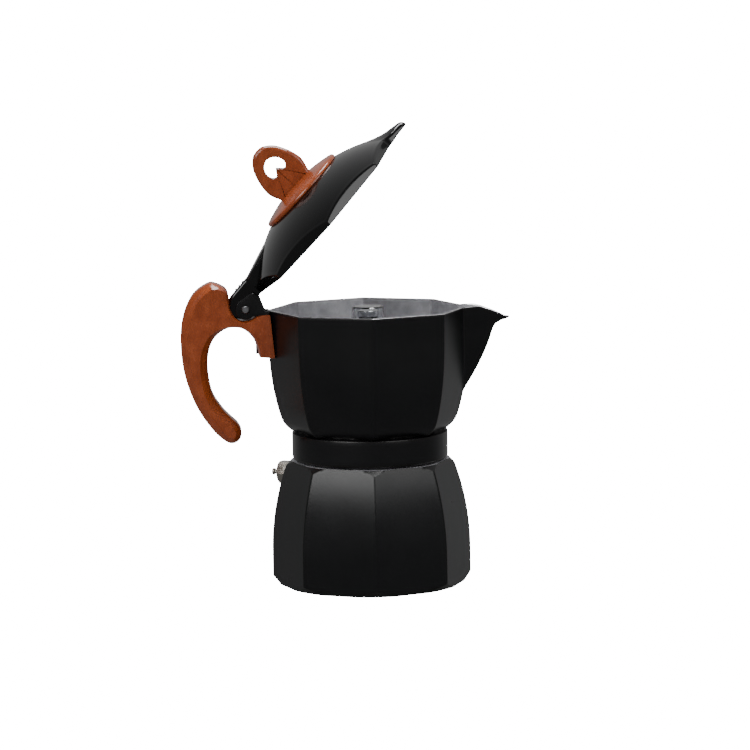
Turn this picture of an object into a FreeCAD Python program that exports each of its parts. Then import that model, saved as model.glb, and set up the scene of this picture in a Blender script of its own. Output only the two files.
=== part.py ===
import FreeCAD
import Part
import math
import os

# Stove-top moka pot for three cups, eight-sided, in millimetres.
# +X points to the spout, -X to the handle, +Z up. The origin is the centre of the boiler's underside.
# Every piece is written as its own STEP file. The lid is shaped closed and then swung open about its pin.

V = FreeCAD.Vector
UP = V(0, 0, 1)

# ---- overall form: the eight-sided castings, given by their corner radius ----
SIDES = 8
BOILER_CORNER_R = 44.0
BOILER_UPRIGHT_Z = 14.0
BOILER_LEAN_R = 112.0
BOILER_SHOULDER_SLOPE = 1.0
BOILER_SHOULDER_TOP_R = 34.9
BOILER_H = 54.3
BASE_CHAMFER_H = 2.6
BASE_CHAMFER_RUN = 2.6
BOILER_WALL = 3.0
BOILER_FLOOR = 4.0
INSIDE_DROP = 1.3
INSIDE_CORNER = 2.0
INSIDE_STEPS = 6

CHAMBER_UPRIGHT_R = 44.0
CHAMBER_RIM_FLARE = 0.4
CHAMBER_HIP_IN = 5.6
CHAMBER_FOOT_IN = 9.5
CHAMBER_KNEE_OUT = 0.62
CHAMBER_KNEE_UP = 0.38
CHAMBER_HIP_H = 4.4
CHAMBER_UPRIGHT_DROP = 17.0
CHAMBER_H = 53.4
CHAMBER_WALL = 1.7
CHAMBER_FLOOR = 3.2
SEAT_RECESS = 0.2
ROOF_DISH = 1.2
ROOF_STEP = 0.4
ROOF_IN = 1.0

# ---- screwed joint between boiler and chamber ----
NECK_BORE_R = 27.0
NECK_WALL = 2.9
NECK_ROOT = 0.5
NECK_H = 9.4
THREAD_PITCH = 3.0
THREAD_TURNS = 2.0
THREAD_DEPTH = 1.2
THREAD_CLEARANCE = 0.3
THREAD_ROOT_WIDTH = 1.5
THREAD_CREST_WIDTH = 0.6
THREAD_START = 1.9
THREAD_BITE = 0.3
COLLAR_WALL = 2.9
COLLAR_GAP = 0.5
COLLAR_CHAMFER = 1.2
COLLAR_SHOULDER = 0.7
COLLAR_EDGE = 0.4

# ---- seal, filter plate and funnel ----
FLANGE_T = 1.0
FLANGE_INSET = 0.2
GASKET_T = 2.3
GASKET_BORE_UNDER = 1.6
GASKET_PLAY = 0.3
SEAT_BORE_OVER = 0.2
PLATE_T = 0.8
PLATE_OVER = 0.6
PLATE_PLAY = 0.3
BASKET_PLAY = 0.5
BASKET_WALL = 0.9
BASKET_DEPTH = 19.5
BASKET_LEDGE = 1.4
BASKET_FALL = 4.0
STEM_R = 5.0
STEM_WALL = 1.0
STEM_FLOOR_GAP = 3.0
SIEVE_T = 0.6
SIEVE_PLAY = 0.1
SIEVE_HOLE_R = 0.55
SIEVE_HOLE_STEP = 3.6
SIEVE_RINGS = 6

# ---- column in the chamber, with its weighted outlet valve under a clear cap ----
COLUMN_FOOT_R = 8.6
COLUMN_HEAD_R = 6.0
COLUMN_BORE_R = 2.4
COLUMN_DROP = 11.0
NOZZLE_R = 4.4
NOZZLE_SHANK_OVER = 0.8
NOZZLE_FIT = 0.1
NOZZLE_EDGE = 0.6
NOZZLE_SHANK_H = 4.0
NOZZLE_BORE_R = 1.4
WEIGHT_R = 4.7
WEIGHT_H = 2.6
WEIGHT_EDGE = 0.4
WEIGHT_LIFT = 1.1
SEAL_RING_R = 4.3
SEAL_RING_T = 1.0
CAP_R = 7.1
CAP_WALL = 0.9
CAP_TOP_T = 0.7
CAP_EDGE = 0.6
CAP_OVER_RIM = 0.8
CAP_SKIRT = 4.0
CAP_PLAY = 0.05
CAP_WINDOWS = 4
CAP_WINDOW_W = 4.0
CAP_WINDOW_UP = 0.5
CAP_WINDOW_H = 3.0

# ---- spout ----
SPOUT_REACH = 16.8
SPOUT_TIP_DROP = 4.7
SPOUT_FOOT_DROP = 38.0
SPOUT_HALF_W = 8.2
SPOUT_NOSE_R = 2.2
SPOUT_LIP_LEVEL = 2.6
SPOUT_LIP_SAG = 0.36
SPOUT_ROOT_IN = 8.0
SPOUT_TOP_OVER = 3.0
SPOUT_CHANNEL_KEEL = 1.3
# height over the spout's foot, keel's distance beyond the upright corner, share of the half-width
SPOUT_LEVELS = [(-3.0, -4.0, 0.40), (4.5, -0.2, 0.62), (14.0, 5.2, 0.84), (23.0, 8.9, 0.96),
                (29.5, 11.0, 1.0)]
SPOUT_KEEL_UNDER_TIP = 1.2
SPOUT_KEEL_OVER_TOP = 4.0

# ---- safety valve on the boiler ----
VALVE_DROP = 7.7
VALVE_AZIMUTH = 157.5
VALVE_SEAT_PROUD = 0.4
VALVE_BOSS_R = 6.6
VALVE_BOSS_DEPTH = 4.8
VALVE_HEX_FLATS = 9.5
VALVE_HEX_L = 5.7
VALVE_CROWN_IN = 0.2
VALVE_WASHER_R = 5.6
VALVE_WASHER_T = 0.7
VALVE_SHANK_R = 4.0
VALVE_SHANK_L = 5.4
VALVE_BORE_R = 2.6
VALVE_END_T = 1.0
VALVE_PIN_R = 0.75
VALVE_PIN_OUT = 3.4
VALVE_HEAD_R = 1.5
VALVE_HEAD_T = 1.3
VALVE_HEAD_ROUND = 0.39
VALVE_PLUG_R = 2.3
VALVE_PLUG_T = 1.2
VALVE_ORIFICE_R = 1.6
SPRING_COIL_R = 1.85
SPRING_WIRE_R = 0.3
SPRING_TURNS = 5
PIN_FIT = 0.05

# ---- hinge and lid ----
HINGE_OUT = 9.6
HINGE_OVER_RIM = 0.9
HINGE_PIN_R = 1.5
HINGE_HEAD_R = 1.8
HINGE_HEAD_T = 0.9
HINGE_HEAD_EASE = 0.5
HINGE_FIT = 0.05
EAR_INNER_Y = 4.0
EAR_T = 2.2
EAR_BOSS_R = 4.4
EAR_PEAK_IN = 3.4
EAR_PEAK_UP = 7.6
EAR_SHOULDER_IN = 6.0
EAR_SHOULDER_UP = 5.6
EAR_FOOT_OUT = 1.1
EAR_FOOT_DROP = 3.0
EAR_ROOT_H = 8.0
LUG_DEPTH = 2.6
LUG_ROOT = 3.0
LUG_DROP_TOP = 2.0
LUG_H = 17.0
LID_OPEN_DEG = 48.0
LID_GAP = 0.3
LID_OVERHANG = 0.4
LID_EDGE_H = 2.0
LID_H = 18.3
LID_WALL = 1.6
ARM_HALF_W = 3.7
ARM_WIDE_HALF_W = 8.5
ARM_TOP = 8.4
ARM_BOSS_R = 6.2
ARM_BOSS_U = 0.4
ARM_NECK_L = 10.5
ARM_FLARE_L = 15.0
ARM_KNEE_L = 11.0
ARM_REACH = 27.0
ARM_REACH_TOP = 12.2
RIB_COUNT = 3
RIB_PITCH = 2.2
RIB_H = 0.7
RIB_W = 1.0
RIB_START = 2.4
RIB_ROOT = 0.5
BEAK_L = 7.6
BEAK_ROOT_IN = 6.8
BEAK_ROOT_HALF_W = 10.0
BEAK_TIP_HALF_W = 1.6
BEAK_T = 2.3

# ---- knob ----
KNOB_X = 1.5
KNOB_DISC_R = 21.0
KNOB_DISC_T = 1.6
KNOB_SEAT = 0.05
KNOB_H = 23.6
KNOB_HALF_W = 10.6
KNOB_T = 7.0
KNOB_EDGE = 1.2
# half outlines as shares of the half-width and height: the bow from its foot up, the heart from its notch up
BOW_HALF = [(0.86, -0.10), (0.86, 0.08), (0.97, 0.22), (1.0, 0.36), (0.90, 0.58), (0.66, 0.82), (0.30, 0.97),
            (0, 1)]
HEART_HALF = [(0, 0.22), (0.36, 0.0), (0.84, 0.13), (1.0, 0.42), (0.72, 0.78), (0, 1.0)]
HEART_HALF_W = 4.8
HEART_H = 8.2
HEART_Z = 9.6
SCREW_R = 1.9
SCREW_FIT = 0.1
SCREW_HEAD_R = 3.5
SCREW_HEAD_T = 2.2
SCREW_GRIP = 6.0
SCREW_END_PLAY = 0.5
SCREW_HEAD_ROUND = 0.6
SCREW_SLOT_W = 1.0
SCREW_SLOT_DEPTH = 0.9
WASHER_R = 5.0
WASHER_T = 0.8
WASHER_SEAT = 0.35

# ---- handle ----
HANDLE_HALF_W = 7.8
HANDLE_ROOT_H = 19.0
HANDLE_ROOT_DROP = 1.4
HANDLE_ROOT_BITE = 4.0
# the grip from the side, as (x, z) from the hinge pin: inner edge from the root down, tip, outer edge back up
HANDLE_INNER = [(5.4, -19.5), (3.6, -12.0), (-2.1, -7.9), (-8.6, -8.0), (-14.6, -13.5), (-17.0, -23.0),
                (-15.6, -35.7), (-11.4, -43.4), (-4.3, -49.7)]
HANDLE_TIP = (-3.0, -55.8)
HANDLE_OUTER = [(-8.6, -58.8), (-15.5, -52.6), (-22.2, -42.0), (-27.6, -28.0), (-28.9, -12.0), (-24.6, 5.0),
                (-16.0, 11.6), (-7.6, 9.6)]
HANDLE_BACK = (-6.7, 1.0)
HANDLE_SADDLE_X = -1.5
HANDLE_SADDLE_END = 4.4
HANDLE_SEAT_X = 5.4
HANDLE_FOOT_X = 5.6
HANDLE_EAR_START = 3.0
HANDLE_SWING_X = -2.0
HANDLE_SWING_Z = 1.3
HANDLE_SWING_OVER = 1.0
HANDLE_SLOT_DEPTH = 9.1
HANDLE_SLOT_LOW = 0.6
HANDLE_FIT = 0.1
HANDLE_HINGE_GAP = 0.5
HANDLE_SLOT_PLAY = 0.4
HANDLE_SCREW_DROP = 17.0
HANDLE_SCREW_R = 1.5
HANDLE_SCREW_HEAD_R = 2.2
HANDLE_SCREW_HEAD_T = 1.2
HANDLE_SCREW_L = 5.0

# ---- places that follow from the sizes above ----
FLAT = math.cos(math.pi / SIDES)
FAR = 200.0
SKIRT = 10.0
OVERLAP = 1.0

CHAMBER_RIM_R = CHAMBER_UPRIGHT_R + CHAMBER_RIM_FLARE
CHAMBER_HIP_R = CHAMBER_UPRIGHT_R - CHAMBER_HIP_IN
CHAMBER_FOOT_R = CHAMBER_UPRIGHT_R - CHAMBER_FOOT_IN
SPOUT_TIP_X = CHAMBER_RIM_R + SPOUT_REACH
SPOUT_LIP_START_X = CHAMBER_RIM_R + SPOUT_LIP_LEVEL
HINGE_X = -(CHAMBER_UPRIGHT_R + HINGE_OUT)
LID_CORNER_R = CHAMBER_RIM_R + LID_OVERHANG
BEAK_TIP_X = LID_CORNER_R + BEAK_L
BEAK_ROOT_X = LID_CORNER_R - BEAK_ROOT_IN

Z_NECK_TOP = BOILER_H + NECK_H
Z_FLANGE_TOP = Z_NECK_TOP + FLANGE_T
Z_PLATE = Z_FLANGE_TOP + GASKET_T
Z_SEAT = Z_PLATE + PLATE_T
Z_COLLAR = BOILER_H + COLLAR_GAP
Z_FOOT = Z_SEAT - SEAT_RECESS
Z_FLOOR = Z_SEAT + CHAMBER_FLOOR
Z_RIM = Z_FOOT + CHAMBER_H
Z_HINGE = Z_RIM + HINGE_OVER_RIM
Z_LID = Z_RIM + LID_GAP
HANDLE_SCREW_Z = Z_RIM - HANDLE_SCREW_DROP
VALVE_Z = BOILER_H - VALVE_DROP

THREAD_ROOT_R = NECK_BORE_R + NECK_WALL
THREAD_CREST_R = THREAD_ROOT_R + THREAD_DEPTH
COLLAR_CREST_R = THREAD_ROOT_R + THREAD_CLEARANCE
COLLAR_BORE_R = THREAD_CREST_R + THREAD_CLEARANCE
COLLAR_R = COLLAR_BORE_R + COLLAR_WALL
GASKET_BORE_R = NECK_BORE_R - GASKET_BORE_UNDER
PLATE_R = NECK_BORE_R + PLATE_OVER
GASKET_SEAT_R = COLLAR_CREST_R + SEAT_BORE_OVER
GASKET_R = COLLAR_CREST_R - GASKET_PLAY
BASKET_R = NECK_BORE_R - BASKET_PLAY
BASKET_IN_R = BASKET_R - BASKET_WALL
Z_BASKET = Z_FLANGE_TOP - BASKET_DEPTH

Z_COLUMN = Z_RIM - COLUMN_DROP
Z_CAP = Z_RIM + CAP_OVER_RIM
CAP_IN_R = CAP_R - CAP_WALL
NOZZLE_SHANK_R = COLUMN_BORE_R + NOZZLE_SHANK_OVER
Z_WEIGHT_TOP = Z_CAP - CAP_TOP_T - WEIGHT_LIFT
Z_WEIGHT = Z_WEIGHT_TOP - WEIGHT_H
Z_NOZZLE_TOP = Z_WEIGHT - SEAL_RING_T

DOME_RISE = LID_H - LID_EDGE_H
DOME_R = (DOME_RISE ** 2 + LID_CORNER_R ** 2) / (2 * DOME_RISE)
DOME_CENTRE = V(0, 0, Z_LID + LID_H - DOME_R)


def line_or_arc(points):
    """An edge through two points, or an arc through three."""
    if len(points) == 2:
        return Part.makeLine(points[0], points[1])
    return Part.Arc(points[0], points[1], points[2]).toShape()


def face_of(edges):
    return Part.Face(Part.Wire(Part.__sortEdges__(edges)))


def polygon_face(points):
    return Part.Face(Part.makePolygon(points + [points[0]]))


def turned(outline):
    """A solid of revolution about Z, from (radius, height) corners."""
    return polygon_face([V(r, 0, z) for r, z in outline]).revolve(V(0, 0, 0), UP, 360)


def tube(outer, inner, low, high):
    return turned([(inner, low), (outer, low), (outer, high), (inner, high)])


def rod(radius, low, high, x=0.0):
    return Part.makeCylinder(radius, high - low, V(x, 0, low), UP)


def across(radius, half, x, z):
    """A round bar along Y, centred on y = 0."""
    return Part.makeCylinder(radius, 2 * half, V(x, -half, z), V(0, 1, 0))


def side_prism(points, low, high):
    """An outline of (x, z) corners, run along Y from low to high."""
    return polygon_face([V(x, low, z) for x, z in points]).extrude(V(0, high - low, 0))


def plan_prism(points, low, high):
    """An outline of (x, y) corners, run up Z from low to high."""
    return polygon_face([V(x, y, low) for x, y in points]).extrude(V(0, 0, high - low))


def box(low, high):
    return Part.makeBox(high[0] - low[0], high[1] - low[1], high[2] - low[2], V(*low))


def eight_sided(runs):
    """A body whose eight faces curve upwards only. Each run is a line or arc of (corner radius, height)."""
    edges = []
    for side in (1, -1):
        for run in runs:
            edges.append(line_or_arc([V(side * FLAT * r, 0, z) for r, z in run]))
    for r, z in (runs[0][0], runs[-1][-1]):
        edges.append(Part.makeLine(V(-FLAT * r, 0, z), V(FLAT * r, 0, z)))
    slab = face_of(edges).extrude(V(0, 2 * FAR, 0))
    slab.translate(V(0, -FAR, 0))
    body = None
    for i in range(SIDES // 2):
        turned_slab = slab.copy()
        turned_slab.rotate(V(0, 0, 0), UP, (i + 0.5) * 360 / SIDES)
        body = turned_slab if body is None else body.common(turned_slab)
    return body


def lean(corner_r, bend_r, start_z, z):
    """Corner radius at height z of a wall that bends in, or out, beyond start_z."""
    return corner_r - bend_r + math.sqrt(bend_r ** 2 - (z - start_z) ** 2)


def thread(root_r, crest_r, z, turns, start_deg):
    """One helical ridge on a cylinder or in a bore, biting a little into the wall that carries it."""
    bite = -THREAD_BITE if crest_r > root_r else THREAD_BITE
    slope = (THREAD_ROOT_WIDTH - THREAD_CREST_WIDTH) / abs(crest_r - root_r)
    foot = THREAD_ROOT_WIDTH / 2 + slope * THREAD_BITE / 2
    tip = THREAD_CREST_WIDTH / 2
    corners = [V(root_r + bite, 0, -foot), V(crest_r, 0, -tip), V(crest_r, 0, tip), V(root_r + bite, 0, foot)]
    section = Part.makePolygon(corners + [corners[0]])
    helix = Part.makeHelix(THREAD_PITCH, THREAD_PITCH * turns, root_r)
    ridge = Part.Wire(helix.Edges).makePipeShell([section], True, True)
    ridge.rotate(V(0, 0, 0), UP, start_deg)
    ridge.translate(V(0, 0, z))
    return ridge


def perforated(disc, radius, low, high):
    """The disc with rings of holes, six more in each ring."""
    holes = [rod(SIEVE_HOLE_R, low, high)]
    for ring in range(1, SIEVE_RINGS + 1):
        ring_r = ring * SIEVE_HOLE_STEP
        if ring_r > radius - 2 * SIEVE_HOLE_R:
            break
        for i in range(6 * ring):
            hole = rod(SIEVE_HOLE_R, low, high, ring_r)
            hole.rotate(V(0, 0, 0), UP, i * 60.0 / ring)
            holes.append(hole)
    return disc.cut(Part.makeCompound(holes))


def to_valve(shape):
    """Places a piece modelled along +X, with its axis at z = 0, on the safety valve's axis."""
    shape.rotate(V(0, 0, 0), UP, VALVE_AZIMUTH)
    shape.translate(V(0, 0, VALVE_Z))
    return shape


def along_x(radius, start, end):
    return Part.makeCylinder(radius, end - start, V(start, 0, 0), V(1, 0, 0))


def swing_open(shape):
    """Turns a piece of the lid from closed to its resting angle."""
    shape.rotate(V(HINGE_X, 0, Z_HINGE), V(0, 1, 0), -LID_OPEN_DEG)
    return shape


VALVE_SEAT_S = FLAT * lean(BOILER_CORNER_R, BOILER_LEAN_R, BOILER_UPRIGHT_Z, VALVE_Z) + VALVE_SEAT_PROUD


# ---- boiler ----
def boiler_outline(inset):
    """The eight-sided wall, shrunk by inset, up to the boiler's top."""
    middle_z = (BOILER_UPRIGHT_Z + BOILER_H) / 2
    corner = BOILER_CORNER_R - inset

    def at(z):
        return (lean(corner, BOILER_LEAN_R, BOILER_UPRIGHT_Z, z), z)

    upright = [(corner, 0), (corner, BOILER_UPRIGHT_Z)]
    bend = [(corner, BOILER_UPRIGHT_Z), at(middle_z), at(BOILER_H)]
    return [upright, bend]


def boiler_inside():
    """Round cavity that follows the wall and narrows to the neck."""
    flat_r = FLAT * BOILER_CORNER_R - BOILER_WALL
    shoulder_z = BOILER_H - BOILER_WALL - INSIDE_DROP
    bend = FLAT * BOILER_LEAN_R
    corner_z = BOILER_FLOOR + INSIDE_CORNER
    outline = [(0, BOILER_FLOOR), (flat_r - INSIDE_CORNER, BOILER_FLOOR), (flat_r, corner_z)]
    outline.append((flat_r, BOILER_UPRIGHT_Z))
    for i in range(1, INSIDE_STEPS + 1):
        z = BOILER_UPRIGHT_Z + (shoulder_z - BOILER_UPRIGHT_Z) * i / INSIDE_STEPS
        outline.append((lean(flat_r, bend, BOILER_UPRIGHT_Z, z), z))
    over = Z_NECK_TOP + OVERLAP
    outline += [(NECK_BORE_R, BOILER_H - NECK_ROOT), (NECK_BORE_R, over), (0, over)]
    return turned(outline)


def boiler():
    skirt_r = BOILER_CORNER_R + SKIRT
    skirt_z = BOILER_H - (skirt_r - BOILER_SHOULDER_TOP_R) * BOILER_SHOULDER_SLOPE
    turning = turned([
        (0, 0),
        (BOILER_CORNER_R - BASE_CHAMFER_RUN, 0),
        (BOILER_CORNER_R, BASE_CHAMFER_H),
        (skirt_r, BASE_CHAMFER_H),
        (skirt_r, skirt_z),
        (BOILER_SHOULDER_TOP_R, BOILER_H),
        (0, BOILER_H),
    ])
    body = eight_sided(boiler_outline(0)).common(turning)
    body = body.fuse(rod(THREAD_ROOT_R, BOILER_H - OVERLAP, Z_NECK_TOP))
    body = body.fuse(thread(THREAD_ROOT_R, THREAD_CREST_R, BOILER_H + THREAD_START, THREAD_TURNS, 0))
    body = body.cut(boiler_inside())
    body = body.fuse(to_valve(along_x(VALVE_BOSS_R, VALVE_SEAT_S - VALVE_BOSS_DEPTH, VALVE_SEAT_S)))
    body = body.cut(to_valve(along_x(VALVE_BOSS_R, VALVE_SEAT_S, VALVE_SEAT_S + SKIRT)))
    body = body.cut(to_valve(along_x(VALVE_SHANK_R + PIN_FIT, VALVE_SEAT_S - SKIRT, VALVE_SEAT_S + SKIRT)))
    return body.removeSplitter()


# ---- safety valve ----
VALVE_HEX_S = VALVE_SEAT_S + VALVE_WASHER_T
VALVE_END_S = VALVE_HEX_S + VALVE_HEX_L
VALVE_TAIL_S = VALVE_SEAT_S - VALVE_SHANK_L
VALVE_PLUG_S = VALVE_TAIL_S + VALVE_END_T
VALVE_SPRING_S = VALVE_PLUG_S + VALVE_PLUG_T


def valve_body():
    hex_r = VALVE_HEX_FLATS / 2 / math.cos(math.pi / 6)
    corners = [V(VALVE_HEX_S, hex_r * math.cos(math.radians(60 * i)), hex_r * math.sin(math.radians(60 * i)))
               for i in range(6)]
    head = polygon_face(corners).extrude(V(VALVE_HEX_L, 0, 0))
    crown = Part.makeCone(hex_r + VALVE_HEX_L, VALVE_HEX_FLATS / 2 - VALVE_CROWN_IN, VALVE_HEX_L,
                          V(VALVE_HEX_S, 0, 0), V(1, 0, 0))
    head = head.common(crown)
    piece = head.fuse(along_x(VALVE_SHANK_R, VALVE_TAIL_S, VALVE_HEX_S + OVERLAP))
    piece = piece.cut(along_x(VALVE_BORE_R, VALVE_PLUG_S, VALVE_END_S - VALVE_END_T))
    piece = piece.cut(along_x(VALVE_PIN_R + PIN_FIT, VALVE_END_S - 2 * VALVE_END_T, VALVE_END_S + OVERLAP))
    piece = piece.cut(along_x(VALVE_ORIFICE_R, VALVE_TAIL_S - OVERLAP, VALVE_PLUG_S + VALVE_PLUG_T / 2))
    return to_valve(piece)


def valve_washer():
    piece = along_x(VALVE_WASHER_R, VALVE_SEAT_S, VALVE_HEX_S)
    hole = along_x(VALVE_SHANK_R + PIN_FIT, VALVE_SEAT_S - OVERLAP, VALVE_HEX_S + OVERLAP)
    return to_valve(piece.cut(hole))


def valve_pin():
    end = VALVE_END_S + VALVE_PIN_OUT
    piece = along_x(VALVE_PIN_R, VALVE_SPRING_S, end)
    head = along_x(VALVE_HEAD_R, end - VALVE_HEAD_T, end)
    head = head.makeFillet(VALVE_HEAD_ROUND, head.Edges)
    return to_valve(piece.fuse(head))


def valve_plug():
    return to_valve(along_x(VALVE_PLUG_R, VALVE_PLUG_S, VALVE_SPRING_S))


def valve_spring():
    length = VALVE_END_S - VALVE_END_T - VALVE_SPRING_S - 4 * SPRING_WIRE_R
    helix = Part.makeHelix(length / SPRING_TURNS, length, SPRING_COIL_R)
    ring = Part.makeCircle(SPRING_WIRE_R, V(SPRING_COIL_R, 0, 0), V(0, 1, 0))
    coil = Part.Wire(helix.Edges).makePipeShell([Part.Wire(ring)], True, True)
    coil.rotate(V(0, 0, 0), V(0, 1, 0), 90)
    coil.translate(V(VALVE_SPRING_S + 2 * SPRING_WIRE_R, 0, 0))
    return to_valve(coil)


# ---- funnel, seal and filter plate ----
def funnel():
    stem_in = STEM_R - STEM_WALL
    low = BOILER_FLOOR + STEM_FLOOR_GAP
    z_throat = Z_BASKET - BASKET_FALL
    return turned([
        (THREAD_ROOT_R - FLANGE_INSET, Z_NECK_TOP),
        (THREAD_ROOT_R - FLANGE_INSET, Z_FLANGE_TOP),
        (BASKET_IN_R, Z_FLANGE_TOP),
        (BASKET_IN_R, Z_BASKET),
        (BASKET_IN_R - BASKET_LEDGE, Z_BASKET),
        (stem_in, z_throat),
        (stem_in, low),
        (STEM_R, low),
        (STEM_R, z_throat - BASKET_WALL),
        (BASKET_R, Z_BASKET - BASKET_WALL),
        (BASKET_R, Z_NECK_TOP),
    ])


def funnel_sieve():
    radius = BASKET_IN_R - SIEVE_PLAY
    disc = rod(radius, Z_BASKET, Z_BASKET + SIEVE_T)
    return perforated(disc, radius, Z_BASKET - OVERLAP, Z_BASKET + SIEVE_T + OVERLAP)


def gasket():
    pocket = PLATE_R + PLATE_PLAY
    return turned([
        (GASKET_BORE_R, Z_FLANGE_TOP),
        (GASKET_R, Z_FLANGE_TOP),
        (GASKET_R, Z_SEAT),
        (pocket, Z_SEAT),
        (pocket, Z_PLATE),
        (GASKET_BORE_R, Z_PLATE),
    ])


def filter_plate():
    disc = rod(PLATE_R, Z_PLATE, Z_SEAT)
    return perforated(disc, PLATE_R, Z_PLATE - OVERLAP, Z_SEAT + OVERLAP)


# ---- upper chamber ----
def chamber_runs(inset, low, high):
    """The chamber's wall as runs of (corner radius, height), shrunk by inset and cut to low..high."""
    hip_z = Z_FOOT + CHAMBER_HIP_H
    upright_z = Z_RIM - CHAMBER_UPRIGHT_DROP
    bend_r = ((CHAMBER_UPRIGHT_R - CHAMBER_HIP_R) ** 2 + (upright_z - hip_z) ** 2)
    bend_r /= 2 * (CHAMBER_UPRIGHT_R - CHAMBER_HIP_R)
    upright_r = CHAMBER_UPRIGHT_R - inset

    def at(z):
        return (lean(upright_r, bend_r, upright_z, z), z)

    runs = []
    if low < hip_z:
        foot = (CHAMBER_FOOT_R - inset, low)
        hip = at(hip_z)
        run = hip[0] - foot[0]
        rise = hip_z - low
        knee = (foot[0] + CHAMBER_KNEE_OUT * run, low + CHAMBER_KNEE_UP * rise)
        runs.append([foot, knee, hip])
        low = hip_z
    runs.append([at(low), at((low + upright_z) / 2), (upright_r, upright_z)])
    runs.append([(upright_r, upright_z), (CHAMBER_RIM_R - inset, high)])
    return runs


def spout_section(z, keel_x, half_w, nose_r, root_x):
    """One level of the spout: two flat cheeks and a round nose."""
    reach = keel_x - nose_r - root_x
    cheek = math.pi / 2 - math.atan2(half_w - nose_r, reach)
    near = V(keel_x - nose_r + nose_r * math.cos(cheek), -nose_r * math.sin(cheek), z)
    far = V(near.x, -near.y, z)
    root_near = V(root_x, -half_w, z)
    root_far = V(root_x, half_w, z)
    edges = [
        Part.makeLine(root_near, near),
        Part.Arc(near, V(keel_x, 0, z), far).toShape(),
        Part.makeLine(far, root_far),
        Part.makeLine(root_far, root_near),
    ]
    return Part.Wire(edges)


def spout_shape(inset):
    """The spout's wedge, grown out of the chamber's front corner; inset makes the channel inside it."""
    root_x = CHAMBER_UPRIGHT_R - SPOUT_ROOT_IN
    foot_z = Z_RIM - SPOUT_FOOT_DROP
    levels = [(foot_z + up, CHAMBER_UPRIGHT_R + out, width) for up, out, width in SPOUT_LEVELS]
    levels.append((Z_RIM - SPOUT_TIP_DROP, SPOUT_TIP_X - SPOUT_KEEL_UNDER_TIP, 1.0))
    levels.append((Z_RIM + SPOUT_TOP_OVER, SPOUT_TIP_X + SPOUT_KEEL_OVER_TOP, 1.0))
    sections = []
    for z, keel, width in levels:
        sections.append(spout_section(z, keel - inset * SPOUT_CHANNEL_KEEL, width * SPOUT_HALF_W - inset,
                                      SPOUT_NOSE_R - inset / 2, root_x))
    return Part.makeLoft(sections, True, False)


def spout_lip_cut():
    """The space above the spout's lip, which falls away in a curve from the rim to the tip."""
    middle_x = (SPOUT_LIP_START_X + SPOUT_TIP_X) / 2
    start = V(SPOUT_LIP_START_X, 0, Z_RIM)
    middle = V(middle_x, 0, Z_RIM - SPOUT_TIP_DROP * SPOUT_LIP_SAG)
    tip = V(SPOUT_TIP_X, 0, Z_RIM - SPOUT_TIP_DROP)
    over = V(SPOUT_TIP_X + 10, 0, Z_RIM - SPOUT_TIP_DROP - 4)
    high = Z_RIM + 20
    edges = [
        Part.makeLine(V(0, 0, Z_RIM), start),
        Part.Arc(start, middle, tip).toShape(),
        Part.makeLine(tip, over),
        Part.makeLine(over, V(over.x, 0, high)),
        Part.makeLine(V(over.x, 0, high), V(0, 0, high)),
        Part.makeLine(V(0, 0, high), V(0, 0, Z_RIM)),
    ]
    cut = face_of(edges).extrude(V(0, 60, 0))
    cut.translate(V(0, -30, 0))
    return cut


def ear_face():
    """The hinge ear from the side: round about the pin, a peak beside the lid's arm, a foot on the rim."""
    x = HINGE_X
    z = Z_HINGE

    def on_boss(angle):
        return V(x + EAR_BOSS_R * math.cos(angle), 0, z + EAR_BOSS_R * math.sin(angle))

    reach = math.hypot(EAR_PEAK_IN, EAR_PEAK_UP)
    leave = math.atan2(EAR_PEAK_UP, EAR_PEAK_IN) + math.acos(EAR_BOSS_R / reach)
    meet = 2 * math.pi - math.asin(EAR_FOOT_DROP / EAR_BOSS_R)
    top = on_boss(leave)
    low = on_boss(meet)
    foot_x = -CHAMBER_UPRIGHT_R - EAR_FOOT_OUT
    corners = [
        top,
        V(x + EAR_PEAK_IN, 0, z + EAR_PEAK_UP),
        V(x + EAR_SHOULDER_IN, 0, z + EAR_SHOULDER_UP),
        V(foot_x, 0, Z_RIM),
        V(foot_x, 0, low.z),
        low,
    ]
    edges = [Part.makeLine(corners[i], corners[i + 1]) for i in range(len(corners) - 1)]
    edges.append(Part.Arc(low, on_boss((leave + meet) / 2), top).toShape())
    return face_of(edges)


def hinge_lug(grow):
    """The block on the chamber's back corner that carries the handle and the ears, grown by a fit."""
    half = EAR_INNER_Y + EAR_T + grow
    low = Z_RIM - LUG_DROP_TOP - LUG_H - grow
    back_x = -CHAMBER_UPRIGHT_R - LUG_DEPTH - grow
    return box((back_x, -half, low), (-CHAMBER_UPRIGHT_R + LUG_ROOT, half, Z_RIM - LUG_DROP_TOP))


def ears():
    outer = EAR_INNER_Y + EAR_T
    shapes = []
    for low in (-outer, EAR_INNER_Y):
        plate = ear_face().extrude(V(0, EAR_T, 0))
        plate.translate(V(0, low, 0))
        root = box((-CHAMBER_UPRIGHT_R - LUG_DEPTH, low, Z_RIM - EAR_ROOT_H),
                   (-CHAMBER_UPRIGHT_R + 2, low + EAR_T, Z_RIM))
        shapes.append(plate.fuse(root))
    return shapes


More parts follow.
